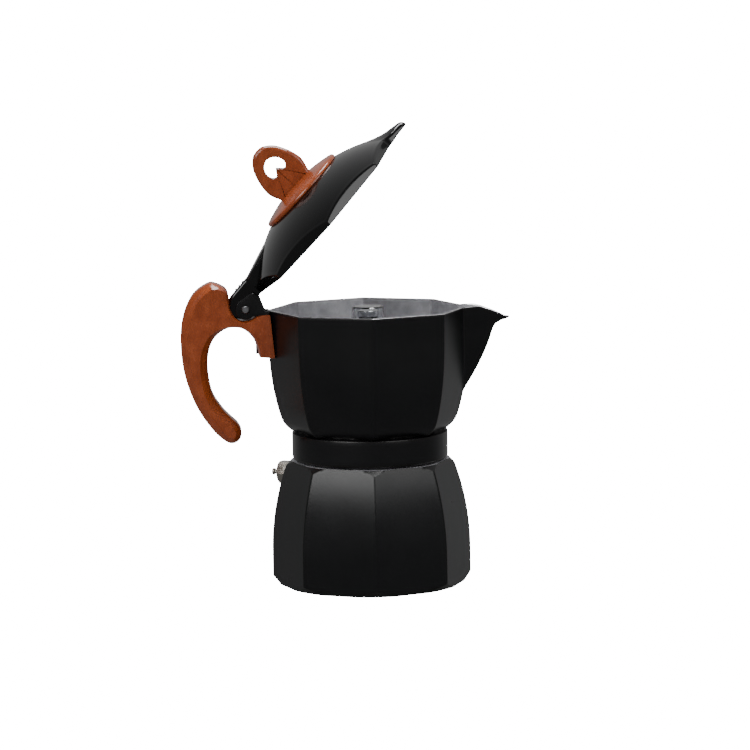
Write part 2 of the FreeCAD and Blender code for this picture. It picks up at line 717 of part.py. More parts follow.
def upper_chamber():
    outside = eight_sided(chamber_runs(0, Z_FOOT, Z_RIM))
    collar_top = Z_FOOT - COLLAR_SHOULDER
    collar = turned([
        (0, Z_COLLAR),
        (COLLAR_R - COLLAR_CHAMFER / 2, Z_COLLAR),
        (COLLAR_R, Z_COLLAR + COLLAR_CHAMFER),
        (COLLAR_R, collar_top - COLLAR_EDGE),
        (COLLAR_R - COLLAR_EDGE, collar_top),
        (CHAMBER_FOOT_R * FLAT, Z_FOOT),
        (CHAMBER_FOOT_R * FLAT, Z_FLOOR),
        (0, Z_FLOOR),
    ])
    body = outside.fuse([collar, spout_shape(0), hinge_lug(0)] + ears())
    inset = CHAMBER_WALL / FLAT
    body = body.cut(eight_sided(chamber_runs(inset, Z_FLOOR, Z_RIM + 0.001)))
    body = body.cut(spout_shape(CHAMBER_WALL).cut(rod(COLUMN_FOOT_R, 0, Z_RIM)))
    body = body.cut(spout_lip_cut())
    column_foot_z = Z_FLOOR - OVERLAP
    column = Part.makeCone(COLUMN_FOOT_R, COLUMN_HEAD_R, Z_COLUMN - CAP_SKIRT - column_foot_z,
                           V(0, 0, column_foot_z), UP)
    column = column.fuse(rod(COLUMN_HEAD_R, Z_COLUMN - CAP_SKIRT, Z_COLUMN))
    body = body.fuse(column)
    # underside: thread bore, seat of the seal and plate, and the dished roof up to the column
    body = body.cut(rod(COLLAR_BORE_R, Z_COLLAR - OVERLAP, Z_NECK_TOP))
    body = body.cut(rod(GASKET_SEAT_R, Z_NECK_TOP - OVERLAP, Z_SEAT))
    roof_z = Z_SEAT + ROOF_STEP
    roof_r = GASKET_BORE_R - ROOF_IN
    roof = turned([(0, Z_SEAT - OVERLAP), (roof_r, Z_SEAT - OVERLAP), (roof_r, roof_z),
                   (COLUMN_BORE_R, roof_z + ROOF_DISH), (0, roof_z + ROOF_DISH)])
    body = body.cut(roof)
    body = body.cut(rod(COLUMN_BORE_R, Z_SEAT, Z_COLUMN - NOZZLE_SHANK_H))
    body = body.cut(rod(NOZZLE_SHANK_R + NOZZLE_FIT, Z_COLUMN - NOZZLE_SHANK_H, Z_COLUMN + OVERLAP))
    start_z = BOILER_H + THREAD_START
    ridge = thread(COLLAR_BORE_R, COLLAR_CREST_R, start_z, THREAD_TURNS, 180)
    body = body.fuse(ridge)
    body = body.cut(across(HINGE_PIN_R + HINGE_FIT, FAR, HINGE_X, Z_HINGE))
    body = body.cut(Part.makeCylinder(HANDLE_SCREW_R + HANDLE_FIT, HANDLE_SCREW_L,
                                      V(-CHAMBER_UPRIGHT_R - LUG_DEPTH - 1, 0, HANDLE_SCREW_Z), V(1, 0, 0)))
    return body.removeSplitter()


# ---- outlet valve on the column ----
def column_nozzle():
    return turned([
        (NOZZLE_BORE_R, Z_COLUMN - NOZZLE_SHANK_H),
        (NOZZLE_SHANK_R, Z_COLUMN - NOZZLE_SHANK_H),
        (NOZZLE_SHANK_R, Z_COLUMN),
        (NOZZLE_R, Z_COLUMN),
        (NOZZLE_R, Z_NOZZLE_TOP - NOZZLE_EDGE),
        (NOZZLE_R - NOZZLE_EDGE, Z_NOZZLE_TOP),
        (NOZZLE_BORE_R, Z_NOZZLE_TOP),
    ])


def weight_seal():
    return rod(SEAL_RING_R, Z_NOZZLE_TOP, Z_WEIGHT)


def outlet_weight():
    piece = rod(WEIGHT_R, Z_WEIGHT, Z_WEIGHT_TOP)
    return piece.makeFillet(WEIGHT_EDGE, piece.Edges)


def clear_cap():
    low = Z_COLUMN - CAP_SKIRT
    bore = COLUMN_HEAD_R + CAP_PLAY
    piece = turned([
        (bore, low),
        (CAP_R, low),
        (CAP_R, Z_CAP - CAP_EDGE),
        (CAP_R - CAP_EDGE, Z_CAP),
        (0, Z_CAP),
        (0, Z_CAP - CAP_TOP_T),
        (CAP_IN_R, Z_CAP - CAP_TOP_T),
        (CAP_IN_R, Z_COLUMN),
        (bore, Z_COLUMN),
    ])
    half = CAP_WINDOW_W / 2
    low_window = Z_COLUMN + CAP_WINDOW_UP
    for i in range(CAP_WINDOWS):
        window = box((0, -half, low_window), (CAP_R + OVERLAP, half, low_window + CAP_WINDOW_H))
        window = window.cut(rod(COLUMN_HEAD_R - OVERLAP, Z_COLUMN, Z_CAP))
        window.rotate(V(0, 0, 0), UP, (i + 0.5) * 360 / CAP_WINDOWS)
        piece = piece.cut(window)
    return piece


# ---- hinge pin and lid ----
def hinge_pin():
    half = EAR_INNER_Y + EAR_T
    piece = across(HINGE_PIN_R, half + HINGE_HEAD_T / 2, HINGE_X, Z_HINGE)
    for side in (1, -1):
        start = V(HINGE_X, side * half, Z_HINGE)
        head = Part.makeCone(HINGE_HEAD_R, HINGE_HEAD_R - HINGE_HEAD_EASE, HINGE_HEAD_T, start, V(0, side, 0))
        piece = piece.fuse(head)
    return piece


def dome(grow):
    return Part.makeSphere(DOME_R + grow, DOME_CENTRE)


def lid_shell(inset):
    corner = LID_CORNER_R - inset / FLAT
    prism = eight_sided([[(corner, Z_LID - (1 if inset else 0)), (corner, Z_LID + LID_H + 5)]])
    return prism.common(dome(-inset))


def lid_arm():
    x = HINGE_X
    z = Z_HINGE
    low = Z_LID
    boss_z = z + ARM_TOP - ARM_BOSS_R
    start = x + ARM_BOSS_U
    end = x + ARM_REACH
    bar = side_prism([(start, low), (end, low), (end, z + ARM_REACH_TOP), (x + ARM_KNEE_L, z + ARM_TOP),
                      (start, z + ARM_TOP)], -FAR, FAR)
    arm = bar.fuse(across(ARM_BOSS_R, FAR, start, boss_z))
    for i in range(RIB_COUNT):
        rib_x = start + RIB_START + i * RIB_PITCH
        arm = arm.fuse(side_prism([(rib_x, z + ARM_TOP - RIB_ROOT), (rib_x + RIB_W, z + ARM_TOP - RIB_ROOT),
                                   (rib_x + RIB_W / 2, z + ARM_TOP + RIB_H)], -FAR, FAR))
    plan = []
    for side in (-1, 1):
        edge = [(x - ARM_NECK_L, side * ARM_HALF_W), (x + ARM_NECK_L, side * ARM_HALF_W),
                (x + ARM_FLARE_L, side * ARM_WIDE_HALF_W), (x + ARM_REACH, side * ARM_WIDE_HALF_W)]
        plan += edge if side < 0 else edge[::-1]
    return arm.common(plan_prism(plan, z - FAR, z + FAR))


def lid_beak():
    plan = [(BEAK_ROOT_X, -BEAK_ROOT_HALF_W), (BEAK_TIP_X, -BEAK_TIP_HALF_W),
            (BEAK_TIP_X, BEAK_TIP_HALF_W), (BEAK_ROOT_X, BEAK_ROOT_HALF_W)]
    return plan_prism(plan, Z_LID, Z_LID + BEAK_T)


def lid():
    body = lid_shell(0).fuse([lid_arm(), lid_beak()])
    body = body.cut(lid_shell(LID_WALL))
    body = body.cut(across(HINGE_PIN_R + HINGE_FIT, FAR, HINGE_X, Z_HINGE))
    body = body.cut(rod(SCREW_R + SCREW_FIT, Z_LID, Z_LID + FAR, KNOB_X))
    return swing_open(body.removeSplitter())


# ---- knob ----
Z_KNOB_SEAT = DOME_CENTRE.z + math.sqrt((DOME_R + KNOB_SEAT) ** 2 - KNOB_X ** 2)
Z_DOME_ROOF = DOME_CENTRE.z + math.sqrt((DOME_R - LID_WALL) ** 2 - KNOB_X ** 2)


def closed_halves(half, half_w, height, z):
    """A curve through a half outline and its mirror image, with the two ends of the curve."""
    right = [V(KNOB_X + a * half_w, 0, z + b * height) for a, b in half]
    left = [V(KNOB_X - a * half_w, 0, z + b * height) for a, b in half[-2::-1]]
    curve = Part.BSplineCurve()
    curve.interpolate(right + left)
    return curve.toShape(), left[-1], right[0]


def knob_ring_face():
    """The bow from the side, widest a third of the way up and round at the top."""
    curve, left, right = closed_halves(BOW_HALF, KNOB_HALF_W, KNOB_H, Z_KNOB_SEAT)
    return face_of([curve, Part.makeLine(left, right)])


def heart_face():
    """A heart-shaped hole: two round lobes below, one round top."""
    curve, left, right = closed_halves(HEART_HALF, HEART_HALF_W, HEART_H, Z_KNOB_SEAT + HEART_Z)
    return face_of([curve])


def knob():
    disc = rod(KNOB_DISC_R, Z_LID, Z_KNOB_SEAT + KNOB_H, KNOB_X).common(dome(KNOB_DISC_T))
    bow = knob_ring_face().extrude(V(0, KNOB_T, 0))
    bow.translate(V(0, -KNOB_T / 2, 0))
    outer = [e for e in bow.Edges if e.Curve.TypeId == "Part::GeomBSplineCurve"]
    bow = bow.makeChamfer(KNOB_EDGE, outer)
    hole = heart_face().extrude(V(0, KNOB_T + 2, 0))
    hole.translate(V(0, -KNOB_T / 2 - 1, 0))
    body = disc.fuse(bow.cut(hole)).cut(dome(KNOB_SEAT))
    body = body.cut(rod(SCREW_R + SCREW_FIT, Z_LID, Z_KNOB_SEAT + SCREW_GRIP + SCREW_END_PLAY, KNOB_X))
    return swing_open(body.removeSplitter())


def knob_screw():
    top = Z_DOME_ROOF - WASHER_SEAT - WASHER_T
    low = top - SCREW_HEAD_T
    shank = rod(SCREW_R, low, Z_KNOB_SEAT + SCREW_GRIP, KNOB_X)
    head = rod(SCREW_HEAD_R, low, top, KNOB_X)
    head = head.makeFillet(SCREW_HEAD_ROUND, [head.Edges[2]])
    half = SCREW_SLOT_W / 2
    slot = box((KNOB_X - SCREW_HEAD_R, -half, low - OVERLAP),
               (KNOB_X + SCREW_HEAD_R, half, low + SCREW_SLOT_DEPTH))
    return swing_open(shank.fuse(head).cut(slot))


def knob_washer():
    top = Z_DOME_ROOF - WASHER_SEAT
    ring = rod(WASHER_R, top - WASHER_T, top, KNOB_X)
    return swing_open(ring.cut(rod(SCREW_R + SCREW_FIT, top - WASHER_T - OVERLAP, top + OVERLAP, KNOB_X)))


# ---- handle ----
def from_pin(point):
    return V(HINGE_X + point[0], 0, Z_HINGE + point[1])


def spline(points):
    curve = Part.BSplineCurve()
    curve.interpolate([from_pin(point) for point in points])
    return curve.toShape()


def handle_outline():
    """The handle from the side: root on the chamber, neck under the hinge, grip out and down to a tip."""
    root_x = -CHAMBER_UPRIGHT_R + HANDLE_ROOT_BITE
    root_top = Z_RIM - HANDLE_ROOT_DROP
    root_low = root_top - HANDLE_ROOT_H
    foot = V(HINGE_X + HANDLE_FOOT_X, 0, root_low)
    saddle = V(HINGE_X + HANDLE_SADDLE_X, 0, Z_HINGE - EAR_BOSS_R - HANDLE_HINGE_GAP)
    saddle_end = V(HINGE_X + HANDLE_SADDLE_END, 0, root_top)
    edges = [
        Part.makeLine(V(root_x, 0, root_top), V(root_x, 0, root_low)),
        Part.makeLine(V(root_x, 0, root_low), foot),
        Part.makeLine(foot, from_pin(HANDLE_INNER[0])),
        spline(HANDLE_INNER),
        Part.Arc(from_pin(HANDLE_INNER[-1]), from_pin(HANDLE_TIP), from_pin(HANDLE_OUTER[0])).toShape(),
        spline(HANDLE_OUTER),
        Part.makeLine(from_pin(HANDLE_OUTER[-1]), from_pin(HANDLE_BACK)),
        Part.Arc(from_pin(HANDLE_BACK), saddle, saddle_end).toShape(),
        Part.makeLine(saddle_end, V(root_x, 0, root_top)),
    ]
    return face_of(edges)


def handle():
    body = handle_outline().extrude(V(0, 2 * HANDLE_HALF_W, 0))
    body.translate(V(0, -HANDLE_HALF_W, 0))
    body = body.cut(eight_sided(chamber_runs(-HANDLE_FIT, Z_FOOT, Z_RIM + OVERLAP)))
    body = body.cut(hinge_lug(HANDLE_FIT))
    ear_half = EAR_INNER_Y + EAR_T + HANDLE_FIT
    body = body.cut(box((HINGE_X + HANDLE_EAR_START, -ear_half, Z_RIM - EAR_FOOT_DROP), (0, ear_half, FAR)))
    body = body.cut(across(EAR_BOSS_R + HANDLE_FIT, ear_half, HINGE_X, Z_HINGE))
    slot_half = ARM_HALF_W + HANDLE_SLOT_PLAY
    swing_r = ARM_BOSS_R + HANDLE_SWING_OVER
    swing = across(swing_r, slot_half, HINGE_X + HANDLE_SWING_X, Z_HINGE + HANDLE_SWING_Z)
    back = box((HINGE_X - HANDLE_SLOT_DEPTH, -slot_half, Z_HINGE + HANDLE_SLOT_LOW), (0, slot_half, FAR))
    body = body.cut(swing.fuse(back))
    body = body.cut(handle_bore(HANDLE_SCREW_R, HANDLE_SCREW_L, 1))
    return body.cut(handle_bore(HANDLE_SCREW_HEAD_R, 2 * HANDLE_SCREW_L, -1))


def handle_bore(radius, length, way):
    """The screw's hole, from its seat towards the chamber, or back out for its head."""
    start = V(HINGE_X + HANDLE_SEAT_X, 0, HANDLE_SCREW_Z)
    return Part.makeCylinder(radius + HANDLE_FIT, length, start, V(way, 0, 0))


def handle_screw():
    seat_x = HINGE_X + HANDLE_SEAT_X
    head = along_x(HANDLE_SCREW_HEAD_R, seat_x - HANDLE_SCREW_HEAD_T, seat_x)
    piece = head.fuse(along_x(HANDLE_SCREW_R, seat_x, seat_x + HANDLE_SCREW_L))
    piece.translate(V(0, 0, HANDLE_SCREW_Z))
    return piece


PIECES = {
    "boiler": boiler,
    "valve_body": valve_body,
    "valve_washer": valve_washer,
    "valve_pin": valve_pin,
    "valve_plug": valve_plug,
    "valve_spring": valve_spring,
    "funnel": funnel,
    "funnel_sieve": funnel_sieve,
    "gasket": gasket,
    "filter_plate": filter_plate,
    "upper_chamber": upper_chamber,
    "column_nozzle": column_nozzle,
    "weight_seal": weight_seal,
    "outlet_weight": outlet_weight,
    "clear_cap": clear_cap,
    "hinge_pin": hinge_pin,
    "lid": lid,
    "knob": knob,
    "knob_screw": knob_screw,
    "knob_washer": knob_washer,
    "handle": handle,
    "handle_screw": handle_screw,
}

os.makedirs("parts", exist_ok=True)
for name, make in PIECES.items():
    shape = make()
    shape.exportStep("parts/" + name + ".step")
    state = "valid" if shape.isValid() else "INVALID"
    print(name, len(shape.Solids), "solid(s)", state, round(shape.Volume, 1))
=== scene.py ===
"""Looks of an eight-sided stovetop moka pot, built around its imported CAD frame.

The frame's axes hold: metres, +Z up, +X to the spout, -X to the handle, origin at the centre of the base.
Shapes are worked out in millimetres and turned to metres once, when a piece is made.
"""
import logging
import math
from dataclasses import dataclass
from enum import Enum

import bmesh
import bpy
import numpy as np
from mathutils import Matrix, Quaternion, Vector


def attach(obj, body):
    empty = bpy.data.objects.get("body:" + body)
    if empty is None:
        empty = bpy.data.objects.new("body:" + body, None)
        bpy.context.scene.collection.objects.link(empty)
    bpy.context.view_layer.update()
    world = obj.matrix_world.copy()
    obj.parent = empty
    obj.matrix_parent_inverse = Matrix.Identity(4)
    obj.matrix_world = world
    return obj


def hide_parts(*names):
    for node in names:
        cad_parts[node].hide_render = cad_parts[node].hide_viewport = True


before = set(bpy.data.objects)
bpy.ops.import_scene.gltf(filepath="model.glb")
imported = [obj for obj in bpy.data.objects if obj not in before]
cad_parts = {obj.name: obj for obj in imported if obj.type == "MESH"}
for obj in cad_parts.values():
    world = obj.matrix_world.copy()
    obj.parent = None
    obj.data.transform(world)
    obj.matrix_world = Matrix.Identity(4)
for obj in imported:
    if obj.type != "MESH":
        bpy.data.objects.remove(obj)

LOG = logging.getLogger("moka_pot")
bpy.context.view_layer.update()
MM = 0.001
TURN = 2 * math.pi
EIGHTH = TURN / 8
HALF_EIGHTH = TURN / 16
# an eight-sided outline's distance to its flats, as a share of its distance to its corners
FLAT = math.cos(HALF_EIGHTH)
THREAD_START_Z = 56.2
THREAD_PITCH = 3.0
THREAD_TURNS = 2.0

Profile = tuple[tuple[float, float], ...]


# ---------------------------------------------------------------- curves and grids

def eight(theta: np.ndarray, corner: np.ndarray, rounding: float) -> np.ndarray:
    """Distance from the axis to a regular eight-sided outline whose corners are rounded.

    A flat lies at corner * cos(22.5 deg) / cos(22.5 deg - angle from the nearest corner). Near a corner the
    outline is the far crossing of the ray with a circle of the rounding's radius that touches both flats.

    Args:
        theta: angles about the axis, in radians; a corner points to angle 0.
        corner: distance from the axis to the sharp corners, in mm.
        rounding: radius of the rounded corners, in mm.

    Returns:
        Distances in mm, with theta and corner broadcast together.
    """
    turn = np.abs((theta + HALF_EIGHTH) % EIGHTH - HALF_EIGHTH)
    flat = corner * FLAT / np.cos(HALF_EIGHTH - turn)
    centre = corner - rounding / FLAT
    limit = np.arctan2(rounding * math.sin(HALF_EIGHTH), centre + rounding * FLAT)
    arc = centre * np.cos(turn) + np.sqrt(np.maximum(rounding ** 2 - (centre * np.sin(turn)) ** 2, 0))
    return np.where(turn < limit, arc, flat)


def off_front(theta: np.ndarray) -> np.ndarray:
    """Each angle's distance from straight ahead, where the spout points: from 0 to half a turn."""
    return np.abs((theta + math.pi) % TURN - math.pi)


def kite(theta: np.ndarray, root: float, half: np.ndarray | float, nose: float,
         tip: np.ndarray | float) -> np.ndarray:
    """Distance from the axis to a kite that points along +X: two straight cheeks that touch a round nose.

    With L = the nose centre's distance from the root, the cheek's normal leans from straight ahead by
    atan(L / half) + asin(nose / hypot(L, half)). A ray meets the cheek's line or, nearer the middle, the
    far side of the nose's circle.

    Args:
        theta: angles about the axis, in radians.
        root: distance from the axis where the cheeks start, in mm.
        half: half-width at the root, in mm.
        nose: radius of the nose, in mm.
        tip: how far from the axis the nose reaches, in mm.

    Returns:
        Distances in mm, for rays that leave through a cheek or the nose.
    """
    least_reach, steepest = 0.6, 0.98
    reach = np.maximum(tip - nose - root, least_reach)
    lean = np.arctan2(reach, half) + np.arcsin(np.minimum(nose / np.hypot(reach, half), steepest))
    centre = root + reach
    side = off_front(theta)
    cheek = (nose + centre * np.cos(lean)) / np.maximum(np.cos(side - lean), 1e-3)
    touch = np.arctan2(nose * np.sin(lean), centre + nose * np.cos(lean))
    round_nose = centre * np.cos(side) + np.sqrt(np.maximum(nose ** 2 - (centre * np.sin(side)) ** 2, 0))
    return np.where(side < touch, round_nose, cheek)


def smooth_max(a: np.ndarray, b: np.ndarray, blend: float) -> np.ndarray:
    """The larger of a and b, rounded by a parabola where they differ by less than blend."""
    near = np.maximum(blend - np.abs(a - b), 0) / blend
    return np.maximum(a, b) + near * near * blend / 4


def spline(points: list[tuple[float, ...]], per_span: int, closed: bool = False) -> np.ndarray:
    """A Catmull-Rom curve through the points.

    Each span is the cubic whose end slopes are half the step between its neighbours.

    Args:
        points: the points it passes through, in order.
        per_span: samples on each span.
        closed: whether the last point runs on to the first.

    Returns:
        An array of samples by coordinates; an open curve ends on its last point.
    """
    p = np.array(points, float)
    if closed:
        before, after, after2 = np.roll(p, 1, 0), np.roll(p, -1, 0), np.roll(p, -2, 0)
    else:
        ends = np.vstack([2 * p[0] - p[1], p, 2 * p[-1] - p[-2]])
        before, p, after, after2 = ends[:-3], ends[1:-2], ends[2:-1], ends[3:]
    t = (np.arange(per_span) / per_span)[None, :, None]
    a, b, c, d = (x[:, None, :] for x in (before, p, after, after2))
    curve = 0.5 * (2 * b + (c - a) * t + (2 * a - 5 * b + 4 * c - d) * t ** 2
                   + (3 * b - a - 3 * c + d) * t ** 3)
    curve = curve.reshape(-1, p.shape[1])
    return curve if closed else np.vstack([curve, after[-1]])


def outward(outline: np.ndarray) -> np.ndarray:
    """Unit normals of a closed outline: the step across each point, turned a quarter right.

    Args:
        outline: its points, anticlockwise.

    Returns:
        One outward normal for each point.
    """
    step = np.roll(outline, -1, 0) - np.roll(outline, 1, 0)
    normal = np.stack([step[:, 1], -step[:, 0]], 1)
    return normal / np.maximum(np.linalg.norm(normal, axis=1, keepdims=True), 1e-9)


def unit(vectors: np.ndarray) -> np.ndarray:
    """Each row of an array, scaled to length 1."""
    return vectors / np.maximum(np.linalg.norm(vectors, axis=-1, keepdims=True), 1e-12)


def rounded(corners: list[tuple[float, float]], radius: float | list[float], steps: int = 6) -> np.ndarray:
    """A closed polygon whose corners are arcs.

    With h = half the corner's angle, the arc's centre lies radius / sin(h) along the corner's bisector,
    the arc starts radius / tan(h) before the corner and turns by 180 degrees less twice h.

    Args:
        corners: corners in order.
        radius: radius of every corner, or one for each.
        steps: samples on each arc.

    Returns:
        The outline's points.
    """
    p = np.array(corners, float)
    r = np.broadcast_to(radius, len(p)).astype(float)
    back, on = unit(np.roll(p, 1, 0) - p), unit(np.roll(p, -1, 0) - p)
    half = np.arccos(np.clip((back * on).sum(1), -1, 1)) / 2
    centre = p + unit(back + on) * (r / np.sin(half))[:, None]
    first = p + back * (r / np.tan(half))[:, None] - centre
    way = -np.sign(back[:, 0] * on[:, 1] - back[:, 1] * on[:, 0])
    turn = (way * (math.pi - 2 * half))[:, None] * np.linspace(0, 1, steps)[None, :]
    x = centre[:, :1] + first[:, :1] * np.cos(turn) - first[:, 1:] * np.sin(turn)
    y = centre[:, 1:] + first[:, :1] * np.sin(turn) + first[:, 1:] * np.cos(turn)
    return np.stack([x.ravel(), y.ravel()], 1)


def by_angle(outline: np.ndarray, centre: tuple[float, float], phi: np.ndarray) -> np.ndarray:
    """Points of an outline in given directions: its distance from a centre, read along its own angles.

    Args:
        outline: points of the outline.
        centre: a place that sees all of it.
        phi: directions from the centre, in radians.

    Returns:
        One point for each direction.
    """
    away = outline - centre
    r = np.interp(phi, np.arctan2(away[:, 1], away[:, 0]), np.hypot(away[:, 0], away[:, 1]), period=TURN)
    return centre + r[:, None] * np.stack([np.cos(phi), np.sin(phi)], 1)


def even(outline: np.ndarray, count: int, closed: bool = True) -> np.ndarray:
    """Samples a polyline at even steps of its length.

    Args:
        outline: points of the line.
        count: number of samples.
        closed: whether the line returns to its start.

    Returns:
        The samples, without the repeated end of a closed line.
    """
    line = np.vstack([outline, outline[:1]]) if closed else outline
    way = np.concatenate([[0], np.cumsum(np.linalg.norm(np.diff(line, axis=0), axis=1))])
    at = np.linspace(0, way[-1], count, endpoint=not closed)
    return np.stack([np.interp(at, way, line[:, k]) for k in range(line.shape[1])], 1)


def revolve(radius: np.ndarray, height: np.ndarray, theta: np.ndarray) -> np.ndarray:
    """Turns rows about Z: the point of row i at angle j lies at radius[i, j] from Z and at height[i, j].

    Args:
        radius: distances from the axis, rows by angles.
        height: heights, broadcast to the same shape.
        theta: the angles, in radians.

    Returns:
        A grid of points, rows by angles by three.
    """
    theta = np.broadcast_to(theta, radius.shape)
    height = np.broadcast_to(height, radius.shape)
    return np.stack([radius * np.cos(theta), radius * np.sin(theta), height], 2)


class Shell:
    """Faces gathered from grids, in millimetres, before they become one mesh."""

    def __init__(self) -> None:
        """Starts with no points and no faces."""
        self.points: list[np.ndarray] = []
        self.faces: list[list[int]] = []
        self.finish: list[int] = []
        self.count = 0

    def grid(self, points: np.ndarray, finish: int | np.ndarray = 0, loop_rows: bool = False,
             loop_columns: bool = True) -> None:
        """Adds a grid of four-sided faces.

        Args:
            points: rows by columns by three.
            finish: finish index of the whole grid, or one for each row of faces.
            loop_rows: whether the last row joins the first.
            loop_columns: whether the last column joins the first.
        """
        rows, columns = points.shape[:2]
        number = np.arange(rows * columns).reshape(rows, columns) + self.count
        if loop_rows:
            number = np.vstack([number, number[:1]])
        if loop_columns:
            number = np.hstack([number, number[:, :1]])
        quads = np.stack([number[:-1, :-1], number[:-1, 1:], number[1:, 1:], number[1:, :-1]], 2)
        rows_of_faces, across = quads.shape[:2]
        self.finish += np.repeat(np.broadcast_to(finish, rows_of_faces), across).tolist()
        self.faces += quads.reshape(-1, 4).tolist()
        self.points.append(points.reshape(-1, 3))
        self.count += rows * columns

    def cap(self, ring: np.ndarray, finish: int = 0) -> None:
        """Adds one flat face with its own copy of the ring's points.

        Args:
            ring: the face's points, in order.
            finish: its finish index.
        """
        self.faces.append(list(range(self.count, self.count + len(ring))))
        self.finish.append(finish)
        self.points.append(ring)
        self.count += len(ring)


def piece(name: str, shell: Shell, body: str, finishes: list[bpy.types.Material],
          sharp_deg: float = 28.0, closed: bool = True) -> bpy.types.Object:
    """Makes a finished piece that rides on a body.

    Points closer than a micron are merged, faces with no area go, and normals are turned outwards.

    Args:
        name: the piece's name.
        shell: its faces, in millimetres.
        body: the CAD body that carries it.
        finishes: its materials, by finish index.
        sharp_deg: edges that turn by more than this stay crisp.
        closed: whether the shell holds a volume, so that its normals can be turned outwards.

    Returns:
        The object, at the origin with its place in its mesh.
    """
    mesh = bpy.data.meshes.new(name)
    mesh.from_pydata((np.vstack(shell.points) * MM).tolist(), [], shell.faces)
    mesh.polygons.foreach_set("material_index", shell.finish)
    for finish in finishes:
        mesh.materials.append(finish)
    work = bmesh.new()
    work.from_mesh(mesh)
    bmesh.ops.remove_doubles(work, verts=work.verts, dist=2e-6)
    bmesh.ops.dissolve_degenerate(work, edges=work.edges, dist=1e-6)
    if closed:
        bmesh.ops.recalc_face_normals(work, faces=work.faces)
    work.to_mesh(mesh)
    work.free()
    mesh.polygons.foreach_set("use_smooth", [True] * len(mesh.polygons))
    mesh.set_sharp_from_angle(angle=math.radians(sharp_deg))
    made = bpy.data.objects.new(name, mesh)
    bpy.context.scene.collection.objects.link(made)
    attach(made, body)
    LOG.info("%s: %d faces on body %s", name, len(mesh.polygons), body)
    return made


def plate(outline: np.ndarray, rows: list[tuple[float, float]], bevel: np.ndarray | float = 1.0) -> Shell:
    """A plate with an outline in the X-Z plane and eased edges.

    Each row is a copy of the outline at its own Y, moved inwards by the row's share of the bevel width.

    Args:
        outline: points of (x, z), anticlockwise as seen from -Y.
        rows: pairs of Y in mm and inward share, from one face to the other.
        bevel: bevel width in mm, or one for each point of the outline.

    Returns:
        The closed shell.
    """
    normal = outward(outline)
    width = np.broadcast_to(bevel, len(outline))[:, None]
    rings = []
    for y, share in rows:
        at = outline - normal * width * share
        rings.append(np.stack([at[:, 0], np.full(len(at), y), at[:, 1]], 1))
    shell = Shell()
    shell.grid(np.array(rings))
    shell.cap(rings[0])
    shell.cap(rings[-1])
    return shell


def eased_rows(half: float, ease: float, steps: int = 4) -> list[tuple[float, float]]:
    """Rows for plate(): a quarter-round edge on both faces.

    Args:
        half: half the plate's thickness, in mm.
        ease: depth of the edge, in mm.
        steps: rows on each edge.

    Returns:
        Pairs of Y and inward share.
    """
    angle = np.linspace(0, math.pi / 2, steps)
    near = [(-half + ease * (1 - math.sin(a)), 1 - math.cos(a)) for a in angle[::-1]]
    return near + [(-y, share) for y, share in near[::-1]]


# ---------------------------------------------------------------- finishes

def linear(hex_code: str) -> tuple[float, float, float, float]:
    """Turns an sRGB colour to linear: a straight foot, then the 2.4th power.

    Args:
        hex_code: the colour, written #rrggbb.

    Returns:
        Linear red, green and blue, and an alpha of 1.
    """
    parts = [int(hex_code[i:i + 2], 16) / 255 for i in (1, 3, 5)]
    r, g, b = (c / 12.92 if c <= 0.04045 else ((c + 0.055) / 1.055) ** 2.4 for c in parts)
    return (r, g, b, 1.0)


def add(tree: bpy.types.NodeTree, kind: str, links: dict | None = None,
        **settings: object) -> bpy.types.Node:
    """Adds one node.

    Args:
        tree: the node tree.
        kind: Blender's name of the node type.
        links: input socket to a value, or to an output socket of another node.
        settings: the node's own properties.

    Returns:
        The node.
    """
    node = tree.nodes.new(kind)
    for key, value in settings.items():
        setattr(node, key, value)
    for key, value in (links or {}).items():
        if isinstance(value, bpy.types.NodeSocket):
            tree.links.new(value, node.inputs[key])
        else:
            node.inputs[key].default_value = value
    return node


def grey(value: float) -> tuple[float, float, float, float]:
    """A neutral colour of the given linear value."""
    return (value, value, value, 1.0)


